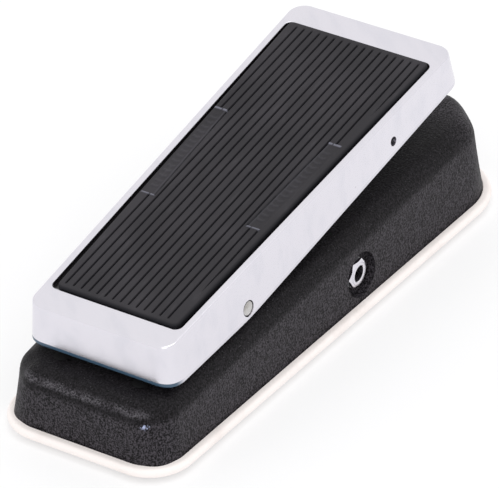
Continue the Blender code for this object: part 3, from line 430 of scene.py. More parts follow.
def threaded_barrel(outer: float, bore: float, low: float, high: float, floor: float, place: Matrix) -> Shell:
    """A threaded barrel with a smooth bore down to floor and a chamfered mouth.

    Args:
        outer: The thread's outer radius.
        bore: The bore's radius.
        low: Where the barrel starts.
        high: Its mouth.
        floor: Where the bore ends.
        place: Carries the barrel from the z axis to its place.

    Returns:
        The skin.
    """
    lip = 0.35 * MM
    steps = max(4, round((high - low) / (0.14 * MM)))
    climb = [(outer, h) for h in np.linspace(low, high - lip, steps)]
    mouth = [(outer - lip, high), (bore + lip, high), (bore, high - lip)]
    profile = [(0, low), *climb, *mouth, (bore, floor), (0, floor)]
    return lathe(profile, place, sides=56, shape=threaded(outer - 0.01 * MM, 0.22 * MM, 0.8 * MM))


def weigh_normals(obj: bpy.types.Object, angle: float = 38.0) -> None:
    """Smooths the faces, keeps edges above the angle sharp, and lets wide faces rule the normals.

    Args:
        obj: The object.
        angle: The angle in degrees.
    """
    obj.data.shade_smooth()
    obj.data.set_sharp_from_angle(angle=math.radians(angle))
    modifier = obj.modifiers.new("weigh", "WEIGHTED_NORMAL")
    modifier.keep_sharp = True
    modifier.weight = 80
    settle(obj)


def settle(obj: bpy.types.Object) -> None:
    """Replaces the object's mesh with what its modifiers make of it, and removes them.

    Args:
        obj: The object.
    """
    made = bpy.data.meshes.new_from_object(obj.evaluated_get(bpy.context.evaluated_depsgraph_get()))
    obj.modifiers.clear()
    worn, name = obj.data, obj.data.name
    obj.data = made
    bpy.data.meshes.remove(worn)
    made.name = name


def add_object(name: str, data: bpy.types.ID) -> bpy.types.Object:
    """Puts a mesh, a light or a camera into the scene.

    Args:
        name: The object's name.
        data: What it holds.

    Returns:
        The new object, at the origin.
    """
    obj = bpy.data.objects.new(name, data)
    bpy.context.scene.collection.objects.link(obj)
    return obj


def build(name: str, shell: Shell, add: Sequence[Shell] = (), cut: Sequence[Shell] = (), bevel: float = 0.0
          ) -> bpy.types.Object:
    """Makes an object from a shell, joins and cuts others, and breaks its sharp edges.

    Args:
        name: The piece's name.
        shell: The main skin.
        add: Skins joined to it.
        cut: Skins cut from it.
        bevel: Width of the broken edges, or 0.

    Returns:
        The finished object, at the origin.
    """
    obj = add_object(name, shell.mesh(name))
    tools = []
    for operation, shells in (("UNION", add), ("DIFFERENCE", cut)):
        for tool_shell in shells:
            tool = add_object("tool", tool_shell.mesh("tool"))
            tools.append(tool)
            modifier = obj.modifiers.new("tool", "BOOLEAN")
            modifier.operation, modifier.solver, modifier.object = operation, "EXACT", tool
    if bevel:
        modifier = obj.modifiers.new("edges", "BEVEL")
        modifier.width, modifier.segments = bevel, 2
        modifier.limit_method, modifier.angle_limit = "ANGLE", math.radians(42)
    settle(obj)
    for tool in tools:
        mesh = tool.data
        bpy.data.objects.remove(tool)
        bpy.data.meshes.remove(mesh)
    weigh_normals(obj)
    return obj


# ---------------------------------------------------------------- node graphs


class Signal:
    """A value socket that takes part in Python expressions, where each operator adds one Math node."""

    def __init__(self, graph: "Graph", socket: bpy.types.NodeSocket) -> None:
        """Wraps one output socket of a graph."""
        self.graph, self.socket = graph, socket

    def math(self, operation: str, *others: Any, first: Any = None) -> "Signal":
        """One Math node.

        Args:
            operation: The node's operation.
            others: The inputs after this signal.
            first: Takes this signal's place as the first input, which then comes second.

        Returns:
            The node's value.
        """
        inputs = [self, *others] if first is None else [first, self]
        node = self.graph.node("ShaderNodeMath", {"operation": operation}, dict(enumerate(inputs)))
        return Signal(self.graph, node.outputs[0])

    def __add__(self, other: Any) -> "Signal":
        """Sum."""
        return self.math("ADD", other)

    __radd__ = __add__

    def __sub__(self, other: Any) -> "Signal":
        """Difference."""
        return self.math("SUBTRACT", other)

    def __rsub__(self, other: float) -> "Signal":
        """A number less this signal."""
        return self.math("SUBTRACT", first=other)

    def __mul__(self, other: Any) -> "Signal":
        """Product."""
        return self.math("MULTIPLY", other)

    def __abs__(self) -> "Signal":
        """Size without sign."""
        return self.math("ABSOLUTE")

    def rise(self, low: float, high: float) -> "Signal":
        """0 below low, 1 above high, and a smooth step between; it falls where low is the larger.

        Args:
            low: Where it is 0.
            high: Where it is 1.

        Returns:
            The step.
        """
        inputs = {"Value": self, "From Min": low, "From Max": high}
        node = self.graph.node("ShaderNodeMapRange", {"interpolation_type": "SMOOTHSTEP"}, inputs)
        return Signal(self.graph, node.outputs["Result"])

    def band(self, centre: float, width: float) -> "Signal":
        """1 at centre, falling smoothly to 0 at width on either side."""
        return abs(self - centre).rise(width, 0.0)


class Graph:
    """The node tree of one material, with one Principled shader whose constants are set directly.

    FIRST and SECOND are the numbers of a Mix node's two colour inputs.
    """

    FIRST = 6
    SECOND = 7

    def __init__(self, name: str, **constants: Any) -> None:
        """Starts a material.

        Args:
            name: The material's name.
            constants: Values of the shader's own sockets, with spaces as underscores.
        """
        self.material = bpy.data.materials.new(name)
        self.material.use_nodes = True
        self.tree = self.material.node_tree
        self.shader = self.tree.nodes["Principled BSDF"]
        for key, value in constants.items():
            self.shader.inputs[key.replace("_", " ")].default_value = value
        coordinates = self.node("ShaderNodeTexCoord")
        inputs = {0: coordinates.outputs["Object"], "Scale": 1 / MM}
        self.place = self.node("ShaderNodeVectorMath", {"operation": "SCALE"}, inputs).outputs[0]

    def node(self, kind: str, settings: dict[str, Any] | None = None, inputs: dict[Any, Any] | None = None
             ) -> bpy.types.ShaderNode:
        """Adds one node.

        Args:
            kind: The node's type.
            settings: Its properties, set first.
            inputs: Values, sockets or signals for its inputs, by name or number.

        Returns:
            The node.
        """
        node = self.tree.nodes.new(kind)
        for key, value in (settings or {}).items():
            setattr(node, key, value)
        for key, value in (inputs or {}).items():
            self.feed(node.inputs[key], value)
        return node

    def feed(self, socket: bpy.types.NodeSocket, value: Any) -> None:
        """Gives one input what it takes.

        Args:
            socket: The input.
            value: A signal or an output to link to it, or a constant to set.
        """
        source = value.socket if isinstance(value, Signal) else value
        if isinstance(source, bpy.types.NodeSocket):
            self.tree.links.new(source, socket)
        else:
            socket.default_value = source

    def stretched(self, stretch: Sequence[float], turn: Sequence[float] = (0, 0, 0)) -> bpy.types.NodeSocket:
        """The place in millimetres, scaled on each axis after a turn.

        Args:
            stretch: The scale on each axis.
            turn: The turn about each axis in radians.

        Returns:
            The vector output.
        """
        turned = self.node("ShaderNodeMapping", None, {"Vector": self.place, "Rotation": tuple(turn)})
        mapping = self.node("ShaderNodeMapping", None, {"Vector": turned.outputs[0], "Scale": tuple(stretch)})
        return mapping.outputs[0]

    def noise(self, scale: float, detail: float = 2.0, stretch: Sequence[float] = (1, 1, 1),
              turn: Sequence[float] = (0, 0, 0)) -> Signal:
        """Cloudy noise from about 0.25 to 0.75, with scale features to the millimetre."""
        inputs = {"Vector": self.stretched(stretch, turn), "Scale": scale, "Detail": detail}
        return Signal(self, self.node("ShaderNodeTexNoise", None, inputs).outputs[0])

    def cells(self, scale: float, feature: str = "F1", output: str = "Distance",
              stretch: Sequence[float] = (1, 1, 1)) -> Signal:
        """Distance to scattered points, scale of them to the millimetre, or another output of the same node."""
        inputs = {"Vector": self.stretched(stretch), "Scale": scale}
        return Signal(self, self.node("ShaderNodeTexVoronoi", {"feature": feature}, inputs).outputs[output])

    def axis(self, name: str) -> Signal:
        """The place's X, Y or Z in millimetres."""
        return Signal(self, self.node("ShaderNodeSeparateXYZ", None, {0: self.place}).outputs[name])

    def attribute(self, name: str) -> Signal:
        """A number that the mesh holds at each point."""
        return Signal(self, self.node("ShaderNodeAttribute", {"attribute_name": name}).outputs["Fac"])

    def specks(self, spacing: float, size: float, share: float) -> Signal:
        """Scattered round spots.

        Args:
            spacing: About how far apart the cells are, in millimetres.
            size: The spots' radius in millimetres.
            share: The share of cells that hold a spot.

        Returns:
            1 inside a spot and 0 elsewhere.
        """
        scale = 1 / spacing
        chosen = self.cells(scale, output="Color")
        picked = self.node("ShaderNodeSeparateColor", None, {0: chosen.socket})
        kept = Signal(self, picked.outputs[0]).math("LESS_THAN", share)
        return self.cells(scale).rise(size * scale, size * scale * 0.5) * kept

    def blend(self, factor: Signal, first: Any, second: Any) -> Signal:
        """A mix of two colours: first where factor is 0 and second where it is 1.

        Args:
            factor: The share of the second.
            first: A signal or a colour.
            second: A signal or a colour.

        Returns:
            The mixed colour.
        """
        node = self.node("ShaderNodeMix", {"data_type": "RGBA"})
        self.feed(node.inputs["Factor"], factor)
        for number, value in ((self.FIRST, first), (self.SECOND, second)):
            self.feed(node.inputs[number], value if isinstance(value, Signal) else (*value, 1))
        return Signal(self, node.outputs[2])

    def finish(self, colour: Signal, roughness: Signal, height: Signal | None = None, depth: float = 0.1,
               strength: float = 1.0, metallic: Signal | None = None) -> bpy.types.Material:
        """Links what varies to the shader.

        Args:
            colour: Base colour.
            roughness: Roughness.
            height: Relief from 0 to 1, given to a bump node.
            depth: The relief's depth in millimetres.
            strength: The bump's strength.
            metallic: Metallic.

        Returns:
            The material.
        """
        varying = {"Base Color": colour, "Roughness": roughness, "Metallic": metallic}
        for key, signal in varying.items():
            if signal is not None:
                self.feed(self.shader.inputs[key], signal)
        if height is not None:
            inputs = {"Height": height, "Distance": depth * MM, "Strength": strength}
            bump = self.node("ShaderNodeBump", None, inputs)
            self.feed(self.shader.inputs["Normal"], bump.outputs[0])
        return self.material


# ---------------------------------------------------------------- finishes


@dataclass(frozen=True)
class Finish:
    """A surface finish, whose material is made once and shared."""

    name: str
    made: ClassVar[dict[str, bpy.types.Material]] = {}

    def material(self) -> bpy.types.Material:
        """The finish's material."""
        if self.name not in Finish.made:
            Finish.made[self.name] = self.make()
        return Finish.made[self.name]

    def make(self) -> bpy.types.Material:
        """Builds the node graph; each finish has its own."""
        raise NotImplementedError


@dataclass(frozen=True)
class WrinkleEnamel(Finish):
    """Black wrinkle enamel: fine wrinkles, pale grit that also paints glints, dust and painted highlight on the
    heel's shoulder, painted shade along the shoulder, and one chip.
    """

    dark: Colour = (0.0020, 0.0016, 0.0022)
    pale: Colour = (0.060, 0.054, 0.063)
    # Pale colour for dust, painted highlight and painted glints.
    dust_and_highlight: Colour = (0.17, 0.165, 0.18)
    chip: Colour = (0.42, 0.47, 0.68)
    chip_place: tuple[float, float, float] = (28.3, -120.4, 22.9)
    shoulder: float = 27.5
    heel_y: float = -119.0

    def make(self) -> bpy.types.Material:
        """Wrinkles from cells and a noise, and pale grit where a fine noise peaks, which also paints the wrinkles'
        glints.

        Painted shade darkens the grit along the shoulder, by the depth under the sloping top, and dust and painted
        highlight lie in a band round the heel.
        """
        graph = Graph("wrinkle_enamel", Specular_IOR_Level=0.13)
        wrinkle = graph.cells(1.1, "SMOOTH_F1", stretch=(1, 1, 0.7)) * 0.6 + graph.noise(1.5, 4.0) * 0.8
        streaks = graph.noise(0.9, 3.0, stretch=(1.6, 1.6, 0.3))
        # Pale grit that also paints the glints off the wrinkles, over a near black base.
        grit_and_glint = (graph.noise(1.6, 5.0, stretch=(1, 1, 0.8)) * 0.75 + streaks * 0.25).rise(0.40, 0.62)
        flecks = graph.specks(1.25, 0.26, 0.34)
        # Painted glints: pale specks scattered all over.
        glints = graph.specks(1.0, 0.19, 0.3)
        base = Base()
        across, along, up = (graph.axis(name) for name in "XYZ")
        # A patchy pale band on the heel's rounding: partly dust, partly painted highlight.
        band = up.band(self.shoulder, 2.2) * along.rise(self.heel_y + 5.0, self.heel_y)
        patchy = graph.noise(0.22, 2.0).rise(0.36, 0.56) * graph.noise(1.9, 4.0).rise(0.47, 0.6)
        dust_and_highlight_share = band * (patchy * 0.55 + 0.03) + flecks * 0.22 + glints * 0.5
        x, y, z = self.chip_place
        spot = abs(across - x) * 0.8 + abs(along - y) * 0.3 + abs(up - z)
        chipped = spot.rise(2.2, 1.0) * graph.noise(1.3, 3.0).rise(0.46, 0.6)
        # Painted shade along the shoulder under the treadle: the grit darkens with the depth under the sloping
        # top, fading towards the toe and outside the heel's band.
        slope = (base.toe_top - base.heel_top) / (base.plan.toe - base.plan.heel)
        below = (base.heel_top / MM - up) + (along - base.plan.heel / MM) * slope
        wear_and_painted_light = below.rise(9.0, 5.5) * along.rise(108.0, 84.0) * (1 - band)
        colour = graph.blend(grit_and_glint * (1 - wear_and_painted_light * 0.72), self.dark, self.pale)
        # Dust, painted highlight, pale flecks and painted glints, all in one pale colour.
        colour = graph.blend(dust_and_highlight_share, colour, self.dust_and_highlight)
        colour = graph.blend(chipped, colour, self.chip)
        roughness = 0.4 + graph.noise(0.5, 2.0) * 0.24 + dust_and_highlight_share * 0.2
        return graph.finish(colour, roughness, wrinkle, 0.3, 1.0)


@dataclass(frozen=True)
class PolishedChrome(Finish):
    """Bright plating over a polished casting, with wiping marks, faint ripple and a film of smudges."""

    bright: Colour = (0.765, 0.745, 0.80)
    smudged: Colour = (0.70, 0.69, 0.75)
    tarnish: Colour = (0.30, 0.30, 0.35)
    # Colour of the painted reflection of the dark housing on the treadle's lower edge.
    stain_and_painted_reflection: Colour = (0.048, 0.092, 0.145)
    shadow: Colour = (0.006, 0.005, 0.006)
    roughness: float = 0.2

    def painted_reflection_and_shade(self, graph: Graph) -> tuple[Signal, Signal] | None:
        """Where the plating gets a painted blue reflection and where painted black shade; plain hardware has
        neither.
        """
        return None

    def make(self) -> bpy.types.Material:
        """Slanted noise makes the smudges, dark pits sit in the plating, and scratches vary the gloss."""
        graph = Graph(self.name, Metallic=1.0)
        slant = (0.0, 0.0, math.radians(38))
        smudge = graph.noise(0.05, 2.0, stretch=(1, 4.0, 1.6), turn=slant).rise(0.42, 0.78)
        scratch = graph.noise(0.5, 3.0, stretch=(9, 0.35, 1.2), turn=slant)
        pits = graph.specks(16.0, 0.3, 0.35)
        colour = graph.blend(smudge * 0.6 + scratch * 0.15, self.bright, self.smudged)
        colour = graph.blend(pits * 0.7, colour, self.tarnish)
        roughness = self.roughness + smudge * 0.04 + scratch * 0.05 + pits * 0.25
        height = graph.noise(0.1, 2.0) * 0.5 + scratch * 0.03 - pits * 0.3
        painted_reflection_and_shade = self.painted_reflection_and_shade(graph)
        metallic = None
        if painted_reflection_and_shade is not None:
            # Painted reflection on the lower edge, then painted black shade in the recess, both dull.
            edge, painted_shade = painted_reflection_and_shade
            colour = graph.blend(edge, colour, self.stain_and_painted_reflection)
            colour = graph.blend(painted_shade, colour, self.shadow)
            metallic = 1 - (edge + painted_shade) * 0.9
        return graph.finish(colour, roughness, height, 0.03, 0.5, metallic=metallic)


@dataclass(frozen=True)
class TreadleChrome(PolishedChrome):
    """The treadle's plating, with a painted blue black reflection of the housing along the rounded lower edge,
    most of all at the heel.
    """

    def painted_reflection_and_shade(self, graph: Graph) -> tuple[Signal, Signal]:
        """The painted reflection follows the height above the lower edge, in the treadle's own frame.

        Args:
            graph: The material's graph.

        Returns:
            Where the lower edge is painted blue black as a reflection, and where the recess's side is painted
            black as shade.
        """
        treadle = Treadle()
        cosine, sine = math.cos(TREADLE_TILT), math.sin(TREADLE_TILT)
        along, up = graph.axis("Y") - HINGE.y / MM, graph.axis("Z") - HINGE.z / MM
        local_y = along * cosine + up * sine
        local_z = up * cosine - along * sine
        heel_slope = (treadle.hinge_depth - treadle.heel_depth) / -treadle.plan.heel
        toe_slope = (treadle.toe_depth - treadle.hinge_depth) / treadle.plan.toe
        sag = (local_y * heel_slope).math("MINIMUM", local_y * toe_slope)
        above = local_z - (treadle.top - treadle.hinge_depth - treadle.skirt) / MM + sag
        # Painted reflection of the dark housing: a blue black band along the lower edge, strongest at the heel.
        edge = above.rise(2.1, 1.8) * (0.06 + local_y.rise(-44.0, -49.0) * 0.94)
        # Painted black shade on the recess's side: inside the rim, below the top and clear of the recess's ends.
        taper = (treadle.plan.toe_half - treadle.plan.heel_half) / (treadle.plan.toe - treadle.plan.heel)
        half = (treadle.plan.half(0) - treadle.recess_rim) / MM + local_y * taper
        inward = half - abs(graph.axis("X") - treadle.shift / MM)
        top = treadle.top / MM
        depth = local_z.rise(top - 0.1, top - 0.5) * local_z.rise(top - 3.2, top - 2.9)
        heel_end, toe_end = treadle.recess_heel / MM, treadle.recess_toe / MM
        ends = local_y.rise(heel_end + 1.0, heel_end + 2.4) * local_y.rise(toe_end + 0.3, toe_end)
        return edge, inward.rise(-0.3, 0.0) * depth * ends


@dataclass(frozen=True)
class CreamRubber(Finish):
    """The pale rubber bead, a little grimy in patches and darker towards its foot."""

    clean: Colour = (0.96, 0.90, 0.875)
    grimy: Colour = (0.70, 0.61, 0.57)

    def make(self) -> bpy.types.Material:
        """Grime lies in patches and the bead is darker towards its foot; fine pores give the relief."""
        graph = Graph("cream_rubber", Specular_IOR_Level=0.35)
        patches = graph.noise(0.07, 5.0).rise(0.5, 0.72)
        # Darker towards the bead's foot.
        foot = graph.axis("Z").rise(3.4, 2.1)
        specks = graph.specks(5.0, 0.22, 0.2)
        pores = graph.noise(3.2, 3.0)
        colour = graph.blend(patches * 0.22 + foot * 0.35 + specks * 0.6 + pores * 0.06, self.clean, self.grimy)
        roughness = 0.5 + pores * 0.2 + patches * 0.12
        return graph.finish(colour, roughness, pores, 0.05, 0.4)


@dataclass(frozen=True)
class MattRubber(Finish):
    """Dark moulded rubber with a dusty bloom, scuffs and pale specks."""

    base: Colour = (0.019, 0.0175, 0.021)
    bloom: Colour = (0.036, 0.033, 0.039)
    # Pale colour for painted highlight and for pale specks.
    wear_and_painted_light: Colour = (0.21, 0.21, 0.26)
    # Near black colour for painted shade.
    painted_shade: Colour = (0.0035, 0.0038, 0.0065)

    def make(self) -> bpy.types.Material:
        """Bloom is a broad noise; the mesh says where the rubber gets painted highlight and where painted shade.
        """
        graph = Graph(self.name, Specular_IOR_Level=0.3)
        bloom = graph.noise(0.06, 5.0, stretch=(1, 0.5, 1)).rise(0.36, 0.7)
        grain = graph.noise(2.6, 4.0)
        scuffs = graph.noise(0.5, 3.0, stretch=(1.0, 0.14, 1.0)).rise(0.6, 0.74)
        specks = graph.specks(4.5, 0.17, 0.22) + graph.specks(13.0, 0.3, 0.3) * 0.7
        colour = graph.blend(bloom * 0.6 + grain * 0.25 + scuffs * 0.18, self.base, self.bloom)
        # Painted shade where the mesh marks the mat's grooves, panel lines and rounded rim.
        colour = graph.blend(graph.attribute("painted_shade"), colour, self.painted_shade)
        # Painted highlight where the mesh marks the mat's bars, chevrons and ridge lines, with pale specks over
        # all.
        wear_and_painted_light = graph.attribute("wear_and_painted_light") * (0.4 + grain * 0.7) + specks * 0.55
        colour = graph.blend(wear_and_painted_light, colour, self.wear_and_painted_light)
        roughness = 0.62 + grain * 0.16 - scuffs * 0.1
        return graph.finish(colour, roughness, grain, 0.06, 0.5)


class Lay(Enum):
    """How the tool marks on a metal part run, as the stretch of their noise."""

    ALONG_X = (0.3, 9.0, 9.0)
    ALONG_Y = (9.0, 0.3, 9.0)
    FINE = (2.0, 2.0, 2.0)


@dataclass(frozen=True)
class BareMetal(Finish):
    """Plated or brushed metal with tool marks and light tarnish."""

    clean: Colour = (0.60, 0.60, 0.61)
    tarnish: Colour = (0.33, 0.31, 0.29)
    roughness: float = 0.3
    lay: Lay = Lay.FINE

    def make(self) -> bpy.types.Material:
        """Marks are a noise drawn out along the lay, and the tarnish is a broad noise."""
        graph = Graph(self.name, Metallic=1.0)
        marks = graph.noise(0.9, 4.0, stretch=self.lay.value)
        stain_and_painted_reflection = graph.noise(0.12, 4.0).rise(0.48, 0.72)
        colour = graph.blend(stain_and_painted_reflection * 0.6 + marks * 0.2, self.clean, self.tarnish)
        return graph.finish(colour, self.roughness + marks * 0.18 + stain_and_painted_reflection * 0.15, marks, 0.03, 0.5)


@dataclass(frozen=True)
class MouldedPlastic(Finish):
    """Moulded plastic with a fine grain, flow marks and rubbed spots."""

    base: Colour = (0.02, 0.02, 0.021)
    worn: Colour = (0.05, 0.05, 0.052)
    roughness: float = 0.38
    subsurface: float = 0.0

    def make(self) -> bpy.types.Material:
        """Colour follows slow flow marks, and the grain gives the relief."""
        graph = Graph(self.name, Subsurface_Weight=self.subsurface, Subsurface_Scale=0.8 * MM)
        flow = graph.noise(0.15, 3.0, stretch=(1, 0.4, 1.4)).rise(0.35, 0.75)
        grain = graph.noise(3.5, 3.0)
        colour = graph.blend(flow * 0.6 + grain * 0.2, self.base, self.worn)
        return graph.finish(colour, self.roughness + grain * 0.12 + flow * 0.08, grain, 0.03, 0.35)


@dataclass(frozen=True)
class CircuitBoard(Finish):
    """Fibreglass board with a lacquered copper pattern."""

    lacquer: Colour = (0.012, 0.085, 0.035)
    copper: Colour = (0.06, 0.23, 0.07)
    solder: Colour = (0.55, 0.55, 0.56)

    def make(self) -> bpy.types.Material:
        """Tracks are the bands of a blocky cell pattern, and solder dots sit on a loose grid."""
        graph = Graph("circuit_board", Coat_Weight=0.4, Coat_Roughness=0.2)
        inputs = {"Vector": graph.stretched((1, 1, 0.01)), "Scale": 0.28}
        pattern = graph.node("ShaderNodeTexVoronoi", {"distance": "CHEBYCHEV", "feature": "F2"}, inputs)
        tracks = Signal(graph, pattern.outputs[0]).math("PINGPONG", 0.22).rise(0.09, 0.12)
        dots = graph.specks(4.2, 0.9, 0.7)
        colour = graph.blend(tracks, self.lacquer, self.copper)
        colour = graph.blend(dots, colour, self.solder)
        return graph.finish(colour, 0.5 - dots * 0.2, tracks * 0.5 + dots, 0.06, 0.8, metallic=dots * 0.9)


@dataclass(frozen=True)
class PrintedSleeve(Finish):
    """A printed metal sleeve with plain bands round it and rubbed edges."""

    band_a: Colour = (0.42, 0.10, 0.03)
    band_b: Colour = (0.03, 0.03, 0.035)
    edge: float = -2.0

    def make(self) -> bpy.types.Material:
        """One colour to each side of a line across x, with a fine rubbed noise over both."""
        graph = Graph(self.name, Coat_Weight=0.3, Coat_Roughness=0.25)
        side = graph.axis("X").rise(self.edge - 0.1, self.edge + 0.1)
        wear_and_painted_light = graph.noise(0.4, 5.0).rise(0.58, 0.7)
        colour = graph.blend(side, self.band_b, self.band_a)
        colour = graph.blend(wear_and_painted_light * 0.35, colour, (0.4, 0.4, 0.41))
        return graph.finish(colour, 0.32 + wear_and_painted_light * 0.3, wear_and_painted_light, 0.03, 0.3, metallic=wear_and_painted_light * 0.4)


@dataclass(frozen=True)
class PaleFloor(Finish):
    """A plain pale studio floor."""

    colour: Colour = (0.47, 0.47, 0.475)

    def make(self) -> bpy.types.Material:
        """Almost even, with the faintest mottle."""
        graph = Graph("pale_floor", Specular_IOR_Level=0.1, Emission_Color=(1, 1, 1, 1), Emission_Strength=0.5)
        mottle = graph.noise(0.004, 2.0)
        shade = graph.blend(mottle * 0.3, self.colour, (0.43, 0.43, 0.435))
        return graph.finish(shade, 0.7 + mottle * 0.1)


ENAMEL = WrinkleEnamel("wrinkle_enamel")
CHROME = TreadleChrome("treadle_chrome")
HARDWARE_CHROME = PolishedChrome("hardware_chrome", roughness=0.14)
CREAM = CreamRubber("cream_rubber")
TREAD_RUBBER = MattRubber("tread_rubber")
# A darker copy of the matt rubber for the heel pads: painted shade, as they sit in the shadow under the treadle.
SHADED_PAD_RUBBER = MattRubber("shaded_pad_rubber", base=(0.004, 0.004, 0.0045), bloom=(0.009, 0.009, 0.01),
                        wear_and_painted_light=(0.02, 0.02, 0.02))
FOOT_RUBBER = MattRubber("foot_rubber", base=(0.018, 0.018, 0.019), bloom=(0.05, 0.05, 0.052))
BRUSHED_STEEL = BareMetal("brushed_steel", clean=(0.62, 0.61, 0.60), roughness=0.28, lay=Lay.ALONG_Y)
ZINC = BareMetal("zinc_plate", clean=(0.55, 0.56, 0.57), tarnish=(0.36, 0.34, 0.28), roughness=0.34)
SHEET_STEEL = BareMetal("sheet_steel", clean=(0.42, 0.42, 0.43), tarnish=(0.25, 0.23, 0.21), roughness=0.4,
                        lay=Lay.ALONG_X)
BLACK_PLASTIC = MouldedPlastic("black_plastic")
NYLON = MouldedPlastic("white_nylon", base=(0.80, 0.79, 0.74), worn=(0.66, 0.63, 0.55), roughness=0.42,
                       subsurface=0.15)
RESIN = MouldedPlastic("resin_dip", base=(0.25, 0.045, 0.02), worn=(0.34, 0.09, 0.03), roughness=0.25)
FERRITE = MouldedPlastic("ferrite_pot", base=(0.055, 0.05, 0.048), worn=(0.10, 0.095, 0.09), roughness=0.55)
BLUE_SLEEVE = PrintedSleeve("capacitor_sleeve", band_a=(0.02, 0.05, 0.17), band_b=(0.45, 0.46, 0.5), edge=-30.0)
BATTERY_SLEEVE = PrintedSleeve("battery_sleeve")
RED_WIRE = MouldedPlastic("red_insulation", base=(0.42, 0.018, 0.012), worn=(0.5, 0.05, 0.03), roughness=0.35)
FLOOR = PaleFloor("pale_floor")


def dress(obj: bpy.types.Object, finish: Finish, *nodes: str) -> None:
    """Gives a piece its finish, sets it on its body, and hides the CAD nodes it stands for.

    Args:
        obj: The piece.
        finish: Its finish.
        nodes: The CAD nodes that it replaces, all on one body and in one material slot.
    """
    obj.data.materials.clear()
    obj.data.materials.append(finish.material())
    body = BODY_OF[nodes[0]]
    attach(obj, body)
    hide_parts(*nodes)
    LOG.info("%s: %d faces in %s, rides on %s", obj.name, len(obj.data.polygons), finish.name, body)


# ---------------------------------------------------------------- base


